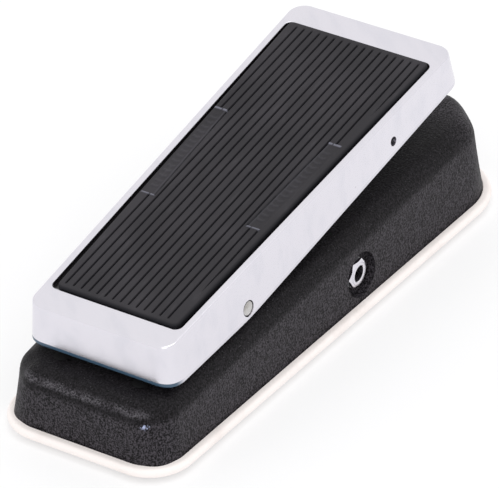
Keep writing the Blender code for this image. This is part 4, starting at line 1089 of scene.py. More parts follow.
@dataclass
class Base:
    """The cast housing with its rubber bead, bottom plate, feet and heel pads."""

    plan: Plan = Plan(-122.1 * MM, 122.1 * MM, 36.6 * MM, 47.6 * MM, 14.9 * MM, 24.7 * MM)
    bottom: float = 5.6 * MM
    heel_top: float = 30.8 * MM
    toe_top: float = 43.4 * MM
    shoulder: float = 8.0 * MM
    wall: float = 3.0 * MM
    side_draft: float = 0.0625
    toe_draft: float = 0.09
    heel_draft: float = 0.03
    corner_draft: tuple[float, float] = (0.15, 0.085)
    corner_bulge: tuple[float, float] = (1.3 * MM, 0.4 * MM)
    lug_inner: float = 18.5 * MM
    lug_outer: float = 24.5 * MM
    lug_radius: float = 7.0 * MM
    bushing_bore: float = 4.85 * MM
    jack_floor: float = 38.2 * MM
    jack_recess: float = 9.6 * MM
    jack_hole: float = 5.0 * MM
    switch_hole: float = 6.4 * MM
    slot_half: float = 4.0 * MM
    slot_heel: float = 5.4 * MM
    slot_toe: float = 3.6 * MM
    bead_width: float = 3.9 * MM
    bead_low: float = 2.0 * MM
    bead_high: float = 6.2 * MM
    plate_low: float = 3.0 * MM
    plate_high: float = 4.2 * MM
    heel_pad: float = 0.4 * MM
    heel_pad_proud: float = 0.05 * MM
    jack_pad: tuple[float, float] = (2.6 * MM, 3.0 * MM)
    jack_pad_wall: float = 1.9 * MM
    foot_step: float = 0.3 * MM
    post_radius: float = 4.0 * MM
    post_gap: float = 2.6 * MM
    pilot_radius: float = 1.9 * MM
    pilot_depth: float = 18 * MM
    bore_reach: float = 30 * MM
    cut_low: float = 20 * MM
    cut_high: float = 60 * MM
    bead_nose: float = 2.1 * MM
    lip_reach: float = 2.4 * MM
    lip_low: float = 4.5 * MM
    lip_high: float = 5.3 * MM
    foot_radius: float = 7.5 * MM
    foot_top: float = 2.7 * MM
    foot_edge: float = 0.7 * MM
    plate_hole: float = 2.2 * MM
    screw_shank: ClassVar[float] = 1.6 * MM
    screw_pitch: ClassVar[float] = 0.7 * MM
    thread_depth: ClassVar[float] = 0.25 * MM
    jack_y: float = field(init=False)
    jack_z: float = field(init=False)
    switch_y: float = field(init=False)
    rack_y: float = field(init=False)
    foot_places: dict[str, tuple[float, float]] = field(init=False)

    def __post_init__(self) -> None:
        """Takes the places of the jacks, switch, rack and feet from the frame."""
        low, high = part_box("input_jack_nut")
        self.jack_y, self.jack_z = (low.y + high.y) / 2, (low.z + high.z) / 2
        low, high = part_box("footswitch_plunger")
        self.switch_y = (low.y + high.y) / 2
        low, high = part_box("rack_pin")
        self.rack_y = (low.y + high.y) / 2
        self.foot_places = {}
        for name in ("heel_left", "heel_right", "toe_left", "toe_right"):
            low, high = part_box("foot_" + name)
            self.foot_places[name] = ((low.x + high.x) / 2, (low.y + high.y) / 2)

    def top(self, y: Array | float) -> Array | float:
        """Height of the sloping top, which climbs evenly from heel to toe."""
        share = (y - self.plan.heel) / (self.plan.toe - self.plan.heel)
        return self.heel_top + (self.toe_top - self.heel_top) * share

    def wall_ring(self, inset: float, level: float | None, drop: float = 0.0) -> Array:
        """A ring on the drafted wall.

        The wall leans in by its height times a draft, which is the side's where the normal points sideways
        and the end's where it points along, weighted by the squares of the normal's parts. The corners,
        weighted by four times the product of both squares, stand out further at the foot and lean in more.

        Args:
            inset: Distance inside the outer wall.
            level: The ring's height, or None to follow the top.
            drop: How far under the top, when it follows the top.

        Returns:
            The ring.
        """
        centre, normal, radius = self.plan.frame()
        end_draft = np.where(normal[:, 1] > 0, self.toe_draft, self.heel_draft)
        corner = 4 * normal[:, 0] ** 2 * normal[:, 1] ** 2
        heelward = centre[:, 1] < 0
        pairs = (self.corner_draft, self.corner_bulge)
        corner_draft, corner_bulge = (np.where(heelward, *pair) for pair in pairs)
        draft = normal[:, 0] ** 2 * self.side_draft + normal[:, 1] ** 2 * end_draft + corner * corner_draft
        height = np.full(len(radius), self.bottom if level is None else level)
        flat = centre
        for _ in range(3):
            lean = (height - self.bottom) * draft - corner * corner_bulge
            flat = centre + (radius - inset - lean)[:, None] * normal
            if level is None:
                height = self.top(flat[:, 1]) - drop
        return np.column_stack([flat, height])

    def shoulder_rings(self, inset: float, steps: int) -> list[Array]:
        """Rings up the rounded shoulder of the skin that lies inset inside the casting.

        Args:
            inset: Distance inside the outer skin.
            steps: Steps round the shoulder.

        Returns:
            The rings, from the wall to the top.
        """
        radius = self.shoulder - inset
        support = 0.4 * MM
        rings = [self.wall_ring(inset, None, inset + radius + support)]
        for drop, lean in quarter(steps):
            rings.append(self.wall_ring(inset + radius * lean, None, inset + radius * drop))
        rings.append(self.wall_ring(inset + radius + support, None, inset))
        return rings

    def casting_skin(self) -> Shell:
        """The casting as one skin: down the inner wall, across the foot, up the outer wall and its shoulder.

        Returns:
            The skin.
        """
        inner = self.shoulder_rings(self.wall, 5)[::-1]
        low, step = self.bottom, self.bottom + self.foot_step
        foot = [self.wall_ring(inset, level)
                for inset, level in ((self.wall, step), (self.wall, low), (0, low), (0, step))]
        return loft(np.array(inner + foot + self.shoulder_rings(0, 12)))

    def lugs(self) -> list[Shell]:
        """The two hinge lugs, each an upright slab whose outline is a half circle about the hinge on a block.

        Returns:
            The left lug and the right lug.
        """
        turn = np.linspace(0, math.pi, 25)
        radius = self.lug_radius
        crown = np.column_stack([HINGE.y + radius * np.cos(turn), HINGE.z + radius * np.sin(turn)])
        foot = self.top(HINGE.y) - 2 * MM
        reach = radius + 1 * MM
        outline = np.vstack([crown, [(HINGE.y - reach, foot), (HINGE.y + reach, foot)]])
        span = (self.lug_inner, self.lug_outer)
        return [prism(outline, *mirrored(side, span)) for side in (-1, 1)]

    def additions(self) -> list[Shell]:
        """Lugs on top, and screw posts and jack pads inside.

        Returns:
            Skins to join to the casting.
        """
        tools = self.lugs()
        for side in (-1, 1):
            inward, outward = self.jack_pad
            low, high = mirrored(side, (self.jack_floor - inward, self.jack_floor + outward))
            centre = (0, self.jack_y, self.jack_z)
            tools.append(rod(self.jack_recess + self.jack_pad_wall, low, high, Axis.RIGHT, centre))
        for x, y in self.foot_places.values():
            low, high = self.bottom + self.foot_step, self.top(y) - self.post_gap
            tools.append(rod(self.post_radius, low, high, Axis.UP, (x, y, 0), 24))
        return tools

    def cuts(self) -> list[Shell]:
        """Hinge bore, jack recesses, screw pilots, rack slot and switch hole.

        Returns:
            Skins to cut from the casting.
        """
        reach, far = self.bore_reach, self.cut_high
        tools = [rod(self.bushing_bore, -reach, reach, Axis.RIGHT, HINGE, 48)]
        soft = 0.5 * MM
        recess = [(0, reach), (self.jack_hole, reach), (self.jack_hole, self.jack_floor),
                  (self.jack_recess - soft, self.jack_floor), (self.jack_recess, self.jack_floor + soft),
                  (self.jack_recess, far), (0, far)]
        for axis in (Axis.RIGHT, Axis.LEFT):
            place = Matrix.Translation((0, self.jack_y, self.jack_z)) @ axis.value
            tools.append(lathe(recess, place, 64))
        for x, y in self.foot_places.values():
            tools.append(rod(self.pilot_radius, 0, self.pilot_depth, Axis.UP, (x, y, 0), 16))
        low = (-self.slot_half, self.rack_y - self.slot_heel, self.cut_low)
        high = (self.slot_half, self.rack_y + self.slot_toe, far)
        tools.append(moulded_block(low, high, 0.8 * MM, 0.0))
        tools.append(rod(self.switch_hole, self.cut_low, far, Axis.UP, (0, self.switch_y, 0), 48))
        return tools

    def bead_skin(self) -> Shell:
        """The bead: a rounded section carried round the plan, with a thin lip that the casting clamps.

        Returns:
            The skin.
        """
        middle = (self.bead_low + self.bead_high) / 2
        half = (self.bead_high - self.bead_low) / 2
        turn = np.linspace(math.pi / 2, -math.pi / 2, 15)
        swell = self.bead_width - self.bead_nose
        nose = [(swell + self.bead_nose * math.cos(t) ** 0.8, middle + half * math.sin(t)) for t in turn[1:-1]]
        back = soft = 0.3 * MM
        section = [(back, self.lip_low), (-self.lip_reach, self.lip_low), (-self.lip_reach, self.lip_high),
                   (back, self.lip_high), (back, self.bead_high - soft), (back + soft, self.bead_high),
                   (swell, self.bead_high), *nose, (swell, self.bead_low), (back + soft, self.bead_low),
                   (back, self.bead_low + soft)]
        return loft(np.array([self.plan.ring(-offset, height) for offset, height in section]), looped=True)

    def foot_skin(self) -> Shell:
        """A foot turned from a section with a soft rim, a shallow ring groove and a counterbored screw hole.

        Returns:
            The skin.
        """
        radius, top, edge = self.foot_radius, self.foot_top, self.foot_edge
        turn = np.linspace(0, math.pi / 2, 5)
        rim = [(radius - edge * math.cos(t) ** 2, edge * math.sin(t)) for t in turn]
        hole, bore, seat = 2.2 * MM, 4.2 * MM, 1.5 * MM
        groove = [(5.2 * MM, 0.0), (5.4 * MM, 0.3 * MM), (5.8 * MM, 0.3 * MM), (6.0 * MM, 0.0)]
        section = [(hole, top), (hole, seat), (bore, seat), (bore, 0.1 * MM), (4.3 * MM, 0.0), *groove,
                   (radius - edge, 0.0), *rim[1:], (radius, top - 0.2 * MM), (radius - 0.2 * MM, top)]
        return lathe(section, Matrix.Identity(4), closed=True)

    def make(self) -> None:
        """Builds and dresses the base."""
        casting = build("base_casting", self.casting_skin(), self.additions(), self.cuts(), 0.25 * MM)
        dress(casting, ENAMEL, "base_housing")
        dress(build("bead", self.bead_skin()), CREAM, "base_trim")
        holes = [rod(self.plate_hole, 0, 8 * MM, Axis.UP, (x, y, 0), 32) for x, y in self.foot_places.values()]
        plate = build("plate", self.plan.pad(self.plate_low, self.plate_high, 0.3 * MM), cut=holes)
        dress(plate, SHEET_STEEL, "bottom_plate")
        for name, (x, y) in self.foot_places.items():
            place = Matrix.Translation((x, y, 0))
            dress(build("rubber_foot_" + name, self.foot_skin().placed(place)), FOOT_RUBBER, "foot_" + name)
            screw = lathe(self.screw_profile(), place, 32, shape=self.screw_thread)
            dress(build("cross_screw_" + name, screw, cut=self.cross(x, y)), ZINC, "foot_screw_" + name)
        for _, word in SIDES:
            low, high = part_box("heel_bumper_" + word)
            middle = (low + high) / 2
            pad = self.pad_skin((high.x - low.x) / 2, low.z - self.heel_pad, low.z + self.heel_pad_proud)
            place = Matrix.Translation((middle.x, middle.y, 0))
            dress(build("heel_pad_" + word, pad.placed(place)), SHADED_PAD_RUBBER, "heel_bumper_" + word)

    def screw_profile(self) -> list[tuple[float, float]]:
        """A screw from its tip down: a threaded shank in fine steps, then a domed pan head.

        Returns:
            Profile points (r, h).
        """
        shank = [(self.screw_shank, h) for h in np.linspace(13.6, 1.3, 90) * MM]
        head = [(self.screw_shank, 1.2 * MM), (3.6 * MM, 1.2 * MM), (3.5 * MM, 0.8 * MM), (3.0 * MM, 0.45 * MM)]
        return [(0, 14 * MM), (1.2 * MM, 14 * MM), *shank, *head, (0, 0.4 * MM)]

    @staticmethod
    def screw_thread(angle: Array, radius: Array, height: Array) -> Array:
        """A screw's thread: the shank's radius less a triangle wave that climbs 0.7 mm a turn.

        Args:
            angle: Angle round the screw.
            radius: The profile's radius.
            height: Height along the screw.

        Returns:
            The threaded radius.
        """
        phase = (height / Base.screw_pitch - angle / (2 * math.pi)) % 1
        shank = np.abs(radius - Base.screw_shank) < 1e-7
        return np.where(shank, radius - Base.thread_depth * np.abs(2 * phase - 1), radius + 0 * angle)

    @staticmethod
    def cross(x: float, y: float) -> list[Shell]:
        """The two slots of a cross recess in a screw head that faces down."""
        long, short, deep = 1.7 * MM, 0.35 * MM, 1.0 * MM
        return [box((x - a, y - b, -MM), (x + a, y + b, deep)) for a, b in ((long, short), (short, long))]

    @staticmethod
    def pad_skin(radius: float, low: float, high: float) -> Shell:
        """A round stick-on pad with a domed top: its height falls with the fourth power of the radius.

        Args:
            radius: The pad's radius.
            low: Its flat face.
            high: The top of its dome.

        Returns:
            The skin.
        """
        share = np.linspace(1, 0, 9)
        dome = [(radius * s, high - (high - low) * 0.35 * s ** 4) for s in share]
        return lathe([(0, low), (radius * 0.96, low), *dome], Matrix.Identity(4), 40)


# ---------------------------------------------------------------- treadle


@dataclass
class Treadle:
    """The plated rocker with its ribbed rubber mat, toe pad, hinge shaft and bushings.

    Its own frame has y along the top from the hinge towards the toe and z square to the top.
    """

    plan: Plan = Plan(-50.3 * MM, 157.1 * MM, 32.3 * MM, 37.5 * MM, 6.5 * MM, 7.0 * MM, side_steps=60)
    shift: float = 0.6 * MM
    top: float = 16.5 * MM
    draft: float = 0.105
    wall: float = 2.5 * MM
    heel_depth: float = 17.35 * MM
    hinge_depth: float = 20.4 * MM
    toe_depth: float = 13.9 * MM
    rim_radius: float = 0.8 * MM
    skirt: float = 1.3 * MM
    recess_heel: float = -38.3 * MM
    recess_toe: float = 144.6 * MM
    recess_rim: float = 3.1 * MM
    recess_depth: float = 2.0 * MM
    recess_corner: float = 3.0 * MM
    skin: float = 2.6 * MM
    shaft_radius: float = 3.0 * MM
    pin: tuple[float, float] = (106.9 * MM, 5.5 * MM)
    pin_radius: float = 1.75 * MM
    pin_reach: float = 8.6 * MM
    boss_span: tuple[float, float] = (26.2 * MM, 33.6 * MM)
    boss_half: float = 6 * MM
    boss_low: float = 3.3 * MM
    ear_span: tuple[float, float] = (4.2 * MM, 8.2 * MM)
    ear_half: float = 4.5 * MM
    ear_low: float = 4 * MM
    set_screw_x: float = 29.2 * MM
    set_screw_hole: float = 2.3 * MM
    set_screw_span: tuple[float, float] = (2 * MM, 9 * MM)
    cut_reach: float = 50 * MM
    bushing_sleeve: float = 4.5 * MM
    bushing_flange: float = 5.6 * MM
    toe_pad_radius: float = 7.0 * MM
    toe_pad_y: float = 145.2 * MM
    toe_pad_span: tuple[float, float] = (-11.6 * MM, -8.6 * MM)

    def recess_plan(self, shrink: float) -> Plan:
        """The recess's outline, less shrink all round.

        Args:
            shrink: How far inside the recess.

        Returns:
            The outline.
        """
        heel, toe = self.recess_heel + shrink, self.recess_toe - shrink
        rim = self.recess_rim + shrink
        corner = self.recess_corner - shrink * 0.5
        near, far = self.plan.half(heel) - rim, self.plan.half(toe) - rim
        return Plan(heel, toe, near, far, corner, corner, side_steps=60)

    def lower_edge(self, y: Array) -> Array:
        """Height of the lower edge: a line on each side of the hinge, with the bend between them softened.

        Args:
            y: Places along the treadle.

        Returns:
            The heights.
        """
        heel_slope = (self.hinge_depth - self.heel_depth) / -self.plan.heel
        toe_slope = (self.toe_depth - self.hinge_depth) / self.plan.toe
        bend = np.sqrt(y ** 2 + (4 * MM) ** 2)
        depth = self.hinge_depth + (heel_slope + toe_slope) / 2 * y - (heel_slope - toe_slope) / 2 * bend
        return self.top - depth - self.skirt

    def wall_ring(self, inset: float, level: float | None, lift: float = 0.0) -> Array:
        """A ring on the drafted wall at a height, or lift above the lower edge where level is None.

        The draft spreads the ring by the depth times the draft over the fourth root of the normal's fourth
        powers, which keeps the corners nearly as tight below as above.

        Args:
            inset: Distance inside the outer wall.
            level: The ring's height, or None to follow the lower edge.
            lift: How far above the lower edge, when it follows the edge.

        Returns:
            The ring.
        """
        centre, normal, radius = self.plan.frame()
        height = np.full(len(radius), self.top if level is None else level)
        flat = centre
        for _ in range(3):
            spread = (self.top - height) * self.draft / (normal ** 4).sum(1) ** 0.25
            flat = centre + (radius - inset + spread)[:, None] * normal
            if level is None:
                height = self.lower_edge(flat[:, 1]) + lift
        return np.column_stack([flat, height])

    def casting_skin(self) -> Shell:
        """The casting as one skin: ceiling, inner wall, lower edge, outer wall, rim and the mat's recess.

        Returns:
            The skin.
        """
        ceiling = self.top - self.recess_depth - self.skin
        fillet = 1.2 * MM
        rings = [self.wall_ring(self.wall + 1.6 * MM, ceiling), self.wall_ring(self.wall + fillet, ceiling)]
        turn = quarter(4)
        rings += [self.wall_ring(self.wall + fillet * a, ceiling - fillet * b) for a, b in turn[1:]]
        soft_in, soft_out = 0.4 * MM, 0.8 * MM
        rings.append(self.wall_ring(self.wall, None, soft_in + 0.4 * MM))
        rings += [self.wall_ring(self.wall - soft_in * b, None, soft_in * a) for a, b in turn]
        rings += [self.wall_ring(soft_out * a, None, soft_out * b) for a, b in turn]
        rings.append(self.wall_ring(0, None, soft_out + 0.4 * MM))
        edge = self.rim_radius
        rings.append(self.wall_ring(0, self.top - edge - 0.4 * MM))
        rings += [self.wall_ring(edge * b, self.top - edge * a) for a, b in quarter(8)]
        rings.append(self.wall_ring(edge + 0.3 * MM, self.top))
        lip = 0.35 * MM
        recess, floor = self.recess_plan(0.0), self.top - self.recess_depth
        rings.append(recess.ring(-lip - 0.3 * MM, self.top))
        rings += [recess.ring(-lip * a, self.top - lip * b) for a, b in turn]
        rings += [recess.ring(0, floor + 0.3 * MM), recess.ring(0, floor), recess.ring(0.3 * MM, floor)]
        return loft(np.array(rings))

    def additions(self) -> list[Shell]:
        """Shaft bosses on the side walls, and the ears that hold the rack's pin.

        Returns:
            Skins to join to the casting.
        """
        ceiling = self.top - self.recess_depth - self.skin + 0.6 * MM
        y, z = self.pin
        tools = []
        for side in (-1, 1):
            low, high = mirrored(side, self.boss_span)
            tools.append(box((low, -self.boss_half, -self.boss_low), (high, self.boss_half, ceiling)))
            low, high = mirrored(side, self.ear_span)
            tools.append(box((low, y - self.ear_half, z - self.ear_low), (high, y + self.ear_half, ceiling)))
        return tools

    def cuts(self) -> list[Shell]:
        """Bores for the shaft, the rack's pin and the set screws.

        Returns:
            Skins to cut from the casting.
        """
        far = self.cut_reach
        tools = [rod(self.shaft_radius + 0.4 * MM, -far, far, Axis.RIGHT, sides=56),
                 rod(self.pin_radius + 0.25 * MM, -far, far, Axis.RIGHT, (0, *self.pin), 36)]
        for side in (-1, 1):
            centre = (side * self.set_screw_x, 0, 0)
            tools.append(rod(self.set_screw_hole, *self.set_screw_span, Axis.HEELWARD, centre, 24))
        return tools

    def shaft_skin(self) -> Shell:
        """The hinge shaft, turned with chamfered ends that lie flush in the side walls."""
        reach = self.plan.half(0) + self.top * self.draft
        return rod(self.shaft_radius, -reach, reach, Axis.RIGHT, sides=56, edge=0.3 * MM)

    def bushing_skin(self, side: int) -> Shell:
        """A flanged bushing: a thin sleeve in the lug, and a flange on its outer face.

        Args:
            side: -1 on the left and 1 on the right.

        Returns:
            The skin.
        """
        inner, outer = Base.lug_inner, Base.lug_outer
        hole, sleeve, flange = self.shaft_radius + 0.1 * MM, self.bushing_sleeve, self.bushing_flange
        section = [(hole, inner), (sleeve, inner), (sleeve, outer + 0.2 * MM), (flange, outer + 0.2 * MM),
                   (flange, outer + 1.0 * MM), (flange - 0.2 * MM, outer + 1.2 * MM),
                   (hole + 0.2 * MM, outer + 1.2 * MM), (hole, outer + 1.0 * MM)]
        axis = Axis.RIGHT if side > 0 else Axis.LEFT
        return lathe(section, Matrix.Translation(HINGE) @ axis.value, closed=True)

    def make(self) -> None:
        """Builds and dresses the treadle and what turns with it."""
        parts = [shell.placed(TREADLE_PLACE) for shell in self.additions()]
        holes = [shell.placed(TREADLE_PLACE) for shell in self.cuts()]
        place = TREADLE_PLACE @ Matrix.Translation((self.shift, 0, 0))
        casting = build("treadle_casting", self.casting_skin().placed(place), parts, holes, 0.15 * MM)
        dress(casting, CHROME, "treadle")
        dress(build("shaft", self.shaft_skin().placed(place)), BRUSHED_STEEL, "hinge_shaft")
        for side, word in SIDES:
            dress(build("bushing_" + word, self.bushing_skin(side)), NYLON, "hinge_bushing_" + word)
        pad = Base.pad_skin(self.toe_pad_radius, *self.toe_pad_span)
        turned = Matrix.Translation((0, self.toe_pad_y, 0)) @ Matrix.Rotation(math.pi, 4, "X")
        dress(build("toe_pad", pad.placed(TREADLE_PLACE @ turned)), FOOT_RUBBER, "toe_bumper")
        pin = rod(self.pin_radius, -self.pin_reach, self.pin_reach, Axis.RIGHT, (0, *self.pin), 36, 0.3 * MM)
        dress(build("pin", pin.placed(TREADLE_PLACE)), BRUSHED_STEEL, "rack_pin")


@dataclass
class Mat:
    """The ribbed rubber mat, drawn as heights over a grid of x and y in the treadle's frame."""

    treadle: Treadle
    clearance: float = 0.7 * MM
    proud: float = 1.3 * MM
    shift: float = 1.1 * MM
    narrow: float = 0.5 * MM
    heel_narrow: float = 1.3 * MM
    pitch: float = 3.6 * MM
    groove_half: float = 0.5 * MM
    groove_floor: float = 0.17 * MM
    groove_depth: float = 0.85 * MM
    grooves: int = 18
    border: float = 2.3 * MM
    edge: float = 1.2 * MM
    panel_start: float = 24.7 * MM
    panel_end: float = 82.2 * MM
    panel_inner: float = 21.3 * MM
    panel_width: float = 6.0 * MM
    panel_slant: float = 2.3 * MM
    panel_sink: float = 0.22 * MM
    chevron_pitch: float = 3.3 * MM
    groove_lip: float = 0.16 * MM
    panel_grid: tuple[float, float, float] = (20.9 * MM, 30.4 * MM, 0.38 * MM)
    grid_reach: float = 40 * MM

    def outline(self) -> Plan:
        """The mat's outline: the recess less the clearance, narrowed on both sides, most of all at the heel."""
        plan = self.treadle.recess_plan(self.clearance)
        return replace(plan, heel_half=plan.heel_half - self.heel_narrow, toe_half=plan.toe_half - self.narrow)

    def columns(self) -> Array:
        """The grid's x values: the break points of each groove, with close steps where the side panels lie.

        Returns:
            The values, rising.
        """
        centres = (np.arange(self.grooves) - (self.grooves - 1) / 2) * self.pitch
        offsets = np.array([-self.groove_half - self.groove_lip, -self.groove_half, -self.groove_floor,
                            self.groove_floor, self.groove_half, self.groove_half + self.groove_lip])
        fixed = (centres[:, None] + offsets).ravel()
        fine = np.arange(*self.panel_grid)
        fine = np.concatenate([fine, -fine])
        clear = np.abs(fine[:, None] - fixed).min(1) > 0.15 * MM
        ends = np.array([-self.grid_reach, self.grid_reach])
        return np.unique(np.concatenate([fixed, fine[clear], ends]))

    def rows(self, plan: Plan) -> Array:
        """The grid's y values: close steps along the panels and at both ends.

        Args:
            plan: The mat's outline.

        Returns:
            The values, rising.
        """
        far = 12 * MM
        length = plan.toe - plan.heel
        near_end = (1 - np.cos(np.linspace(0, math.pi / 2, 9))) * 3 * MM
        fine = np.arange(self.panel_start - 1.5 * MM, self.panel_end + 1.5 * MM, 0.42 * MM)
        wide = np.arange(plan.heel + far / 4, plan.toe - far / 4, 3 * MM)
        wide = wide[(wide < fine[0]) | (wide > fine[-1])]
        return np.unique(np.concatenate([plan.heel + near_end, plan.heel + length - near_end, fine, wide]))

    def to_edge(self, plan: Plan, x: Array, y: Array) -> Array:
        """Distance in from the outline: that of a box with round corners whose half width follows the taper.

        Args:
            plan: The mat's outline.
            x: Grid x.
            y: Grid y.

        Returns:
            The distances.
        """
        half = plan.half(y)
        radius = plan.heel_radius
        across = np.abs(x) - (half - radius)
        along = np.abs(y - (plan.heel + plan.toe) / 2) - ((plan.toe - plan.heel) / 2 - radius)
        outside = np.hypot(np.maximum(across, 0), np.maximum(along, 0))
        return radius - outside - np.minimum(np.maximum(across, along), 0)

    @staticmethod
    def step(value: Array, low: float, high: float) -> Array:
        """A smooth step from 0 at low to 1 at high: three times the square less twice the cube of the share."""
        share = np.clip((value - low) / (high - low), 0, 1)
        return share * share * (3 - 2 * share)

    def beside_panel(self, x: Array, y: Array) -> Array:
        """Distance out from a panel's inner side, which slants with the mat's edge."""
        share = (y - self.panel_start) / (self.panel_end - self.panel_start)
        return np.abs(x) - self.panel_inner - self.panel_slant * share

    def panel(self, x: Array, y: Array) -> tuple[Array, Array, Array]:
        """The side panels' share, raised chevrons and raised end bars at each grid point.

        A panel is a strip that slants with the mat's edge. Its chevrons are the crests of a cosine of y over
        their pitch, delayed by the distance from the strip's middle, and a bar lies across each of its ends.

        Args:
            x: Grid x.
            y: Grid y.

        Returns:
            The panel's share, the chevrons' height share, and the bars' height share.
        """
        place = self.beside_panel(x, y)
        soft = 0.25 * MM
        inside = self.step(place, -soft, soft) * self.step(self.panel_width - place, -soft, soft)
        length = self.step(y - self.panel_start, -soft, soft) * self.step(self.panel_end - y, -soft, soft)
        offset = (place - self.panel_width / 2) / (self.panel_width / 2)
        wave = np.cos(2 * math.pi * (y / self.chevron_pitch - 0.3 * np.abs(offset)))
        ends = self.step(y - self.panel_start, 3 * MM, 4 * MM) * self.step(self.panel_end - y, 3 * MM, 4 * MM)
        chevrons = self.step(wave, 0.1, 0.55) * self.step(0.62 - np.abs(offset), 0.0, 0.1) * ends
        to_bar = np.minimum(np.abs(y - self.panel_start), np.abs(y - self.panel_end))
        split = self.step(np.abs(offset + 0.25), 0.05, 0.14)
        bars = self.step(0.55 * MM - to_bar, 0, 0.4 * MM) * inside * split
        return inside * length, chevrons * inside, bars

    def heights(self, plan: Plan, x: Array, y: Array) -> tuple[Array, Array, Array]:
        """The mat's top at each grid point, with where it gets painted highlight and where painted shade.

        The top is level, less a V to each groove whose depth fades out at the border and in the panels, less
        the panels' sink, plus their chevrons and end bars, less a fine line on each panel's inner side, and
        less a round drop at the outline.

        Args:
            plan: The mat's outline.
            x: Grid x.
            y: Grid y.

        Returns:
            Heights, shares of painted highlight and shares of painted shade.
        """
        inward = self.to_edge(plan, x - self.shift, y)
        beside = np.abs((x / self.pitch + self.grooves / 2) % 1 - 0.5) * self.pitch
        valley = np.clip((self.groove_half - beside) / (self.groove_half - self.groove_floor), 0, 1)
        panel, chevrons, bars = self.panel(x, y)
        valley = valley * self.step(inward, self.border, self.border + 0.4 * MM) * (1 - panel) * (1 - bars)
        drop = self.edge - np.sqrt(np.maximum(self.edge ** 2 - np.maximum(self.edge - inward, 0) ** 2, 0))
        level = self.treadle.top + self.proud
        height = level - valley * self.groove_depth - drop
        beside_panel = self.beside_panel(x, y)
        start, end = self.panel_start, self.panel_end
        along_panel = self.step(y, start - MM, start) * self.step(end - y, -MM, 0)
        line = np.clip(1 - np.abs(beside_panel) / (0.42 * MM), 0, 1) * along_panel
        # A pale line beside each panel's line, as painted highlight; the end bars and the chevrons are painted
        # pale too.
        painted_ridge_highlight = np.clip(1 - np.abs(beside_panel - 0.75 * MM) / (0.35 * MM), 0, 1) * along_panel
        height = height - panel * self.panel_sink + chevrons * 0.3 * MM + bars * 0.35 * MM - line * 0.5 * MM
        # Painted shade in the grooves, on each panel's line and over the rounded rim.
        rim = 0.85 * self.step(self.edge - inward, 0.25 * self.edge, 0.9 * self.edge)
        painted_shade = np.maximum(np.maximum(valley ** 2, line), rim)
        return height, bars + chevrons * 0.05 + painted_ridge_highlight * 0.16, painted_shade

    def make(self) -> None:
        """Builds the mat: a clipped grid on top, its rim carried down to the recess, a flat underside."""
        plan = self.outline()
        x, y = np.meshgrid(self.columns(), self.rows(plan))
        half = plan.half(y)
        radius = plan.heel_radius
        end = np.clip(radius - np.minimum(y - plan.heel, plan.toe - y), 0, radius)
        half = half - (radius - np.sqrt(np.maximum(radius ** 2 - end ** 2, 0)))
        strip = np.array([0, 0.05, 0.2, 0.45, 0.8, 1.25]) * MM
        inner = half - strip[-1]
        middle = np.clip(x, self.shift - inner, self.shift + inner)
        sides = half[:, :1] - strip[None, :]
        x = np.concatenate([self.shift - sides, middle, self.shift + sides[:, ::-1]], 1)
        y = np.broadcast_to(y[:, :1], x.shape)
        height, wear_and_painted_light, painted_shade = self.heights(plan, x, y)
        index = np.arange(x.size).reshape(x.shape)
        quads = np.stack([index[:-1, :-1], index[:-1, 1:], index[1:, 1:], index[1:, :-1]], -1).reshape(-1, 4)
        mesh = bpy.data.meshes.new("mat")
        mesh.from_pydata(np.stack([x, y, height], -1).reshape(-1, 3).tolist(), [], quads.tolist())
        for name, values in (("wear_and_painted_light", wear_and_painted_light), ("painted_shade", painted_shade)):
            layer = mesh.attributes.new(name, "FLOAT", "POINT")
            layer.data.foreach_set("value", values.ravel().astype(np.float32))
        self.close_below(mesh)
        mesh.transform(TREADLE_PLACE)
        obj = add_object("mat", mesh)
        weigh_normals(obj, 50.0)
        dress(obj, TREAD_RUBBER, "rubber_tread")

    def close_below(self, mesh: bpy.types.Mesh) -> None:
        """Merges the clipped grid, draws its rim down to the recess floor and fills the underside.

        Args:
            mesh: The mat's mesh.
        """
        floor = self.treadle.top - self.treadle.recess_depth + 0.3 * MM
        bm = bmesh.new()
        bm.from_mesh(mesh)
        bmesh.ops.remove_doubles(bm, verts=bm.verts[:], dist=0.004 * MM)
        rim = [edge for edge in bm.edges if edge.is_boundary]
        grown = bmesh.ops.extrude_edge_only(bm, edges=rim)["geom"]
        below = [item for item in grown if isinstance(item, bmesh.types.BMVert)]
        for vert in below:
            vert.co.z = floor
        edges = [edge for edge in bm.edges if edge.is_boundary]
        bmesh.ops.holes_fill(bm, edges=edges, sides=0)
        bmesh.ops.recalc_face_normals(bm, faces=bm.faces[:])
        bm.to_mesh(mesh)
        bm.free()


# ---------------------------------------------------------------- moving and bought parts


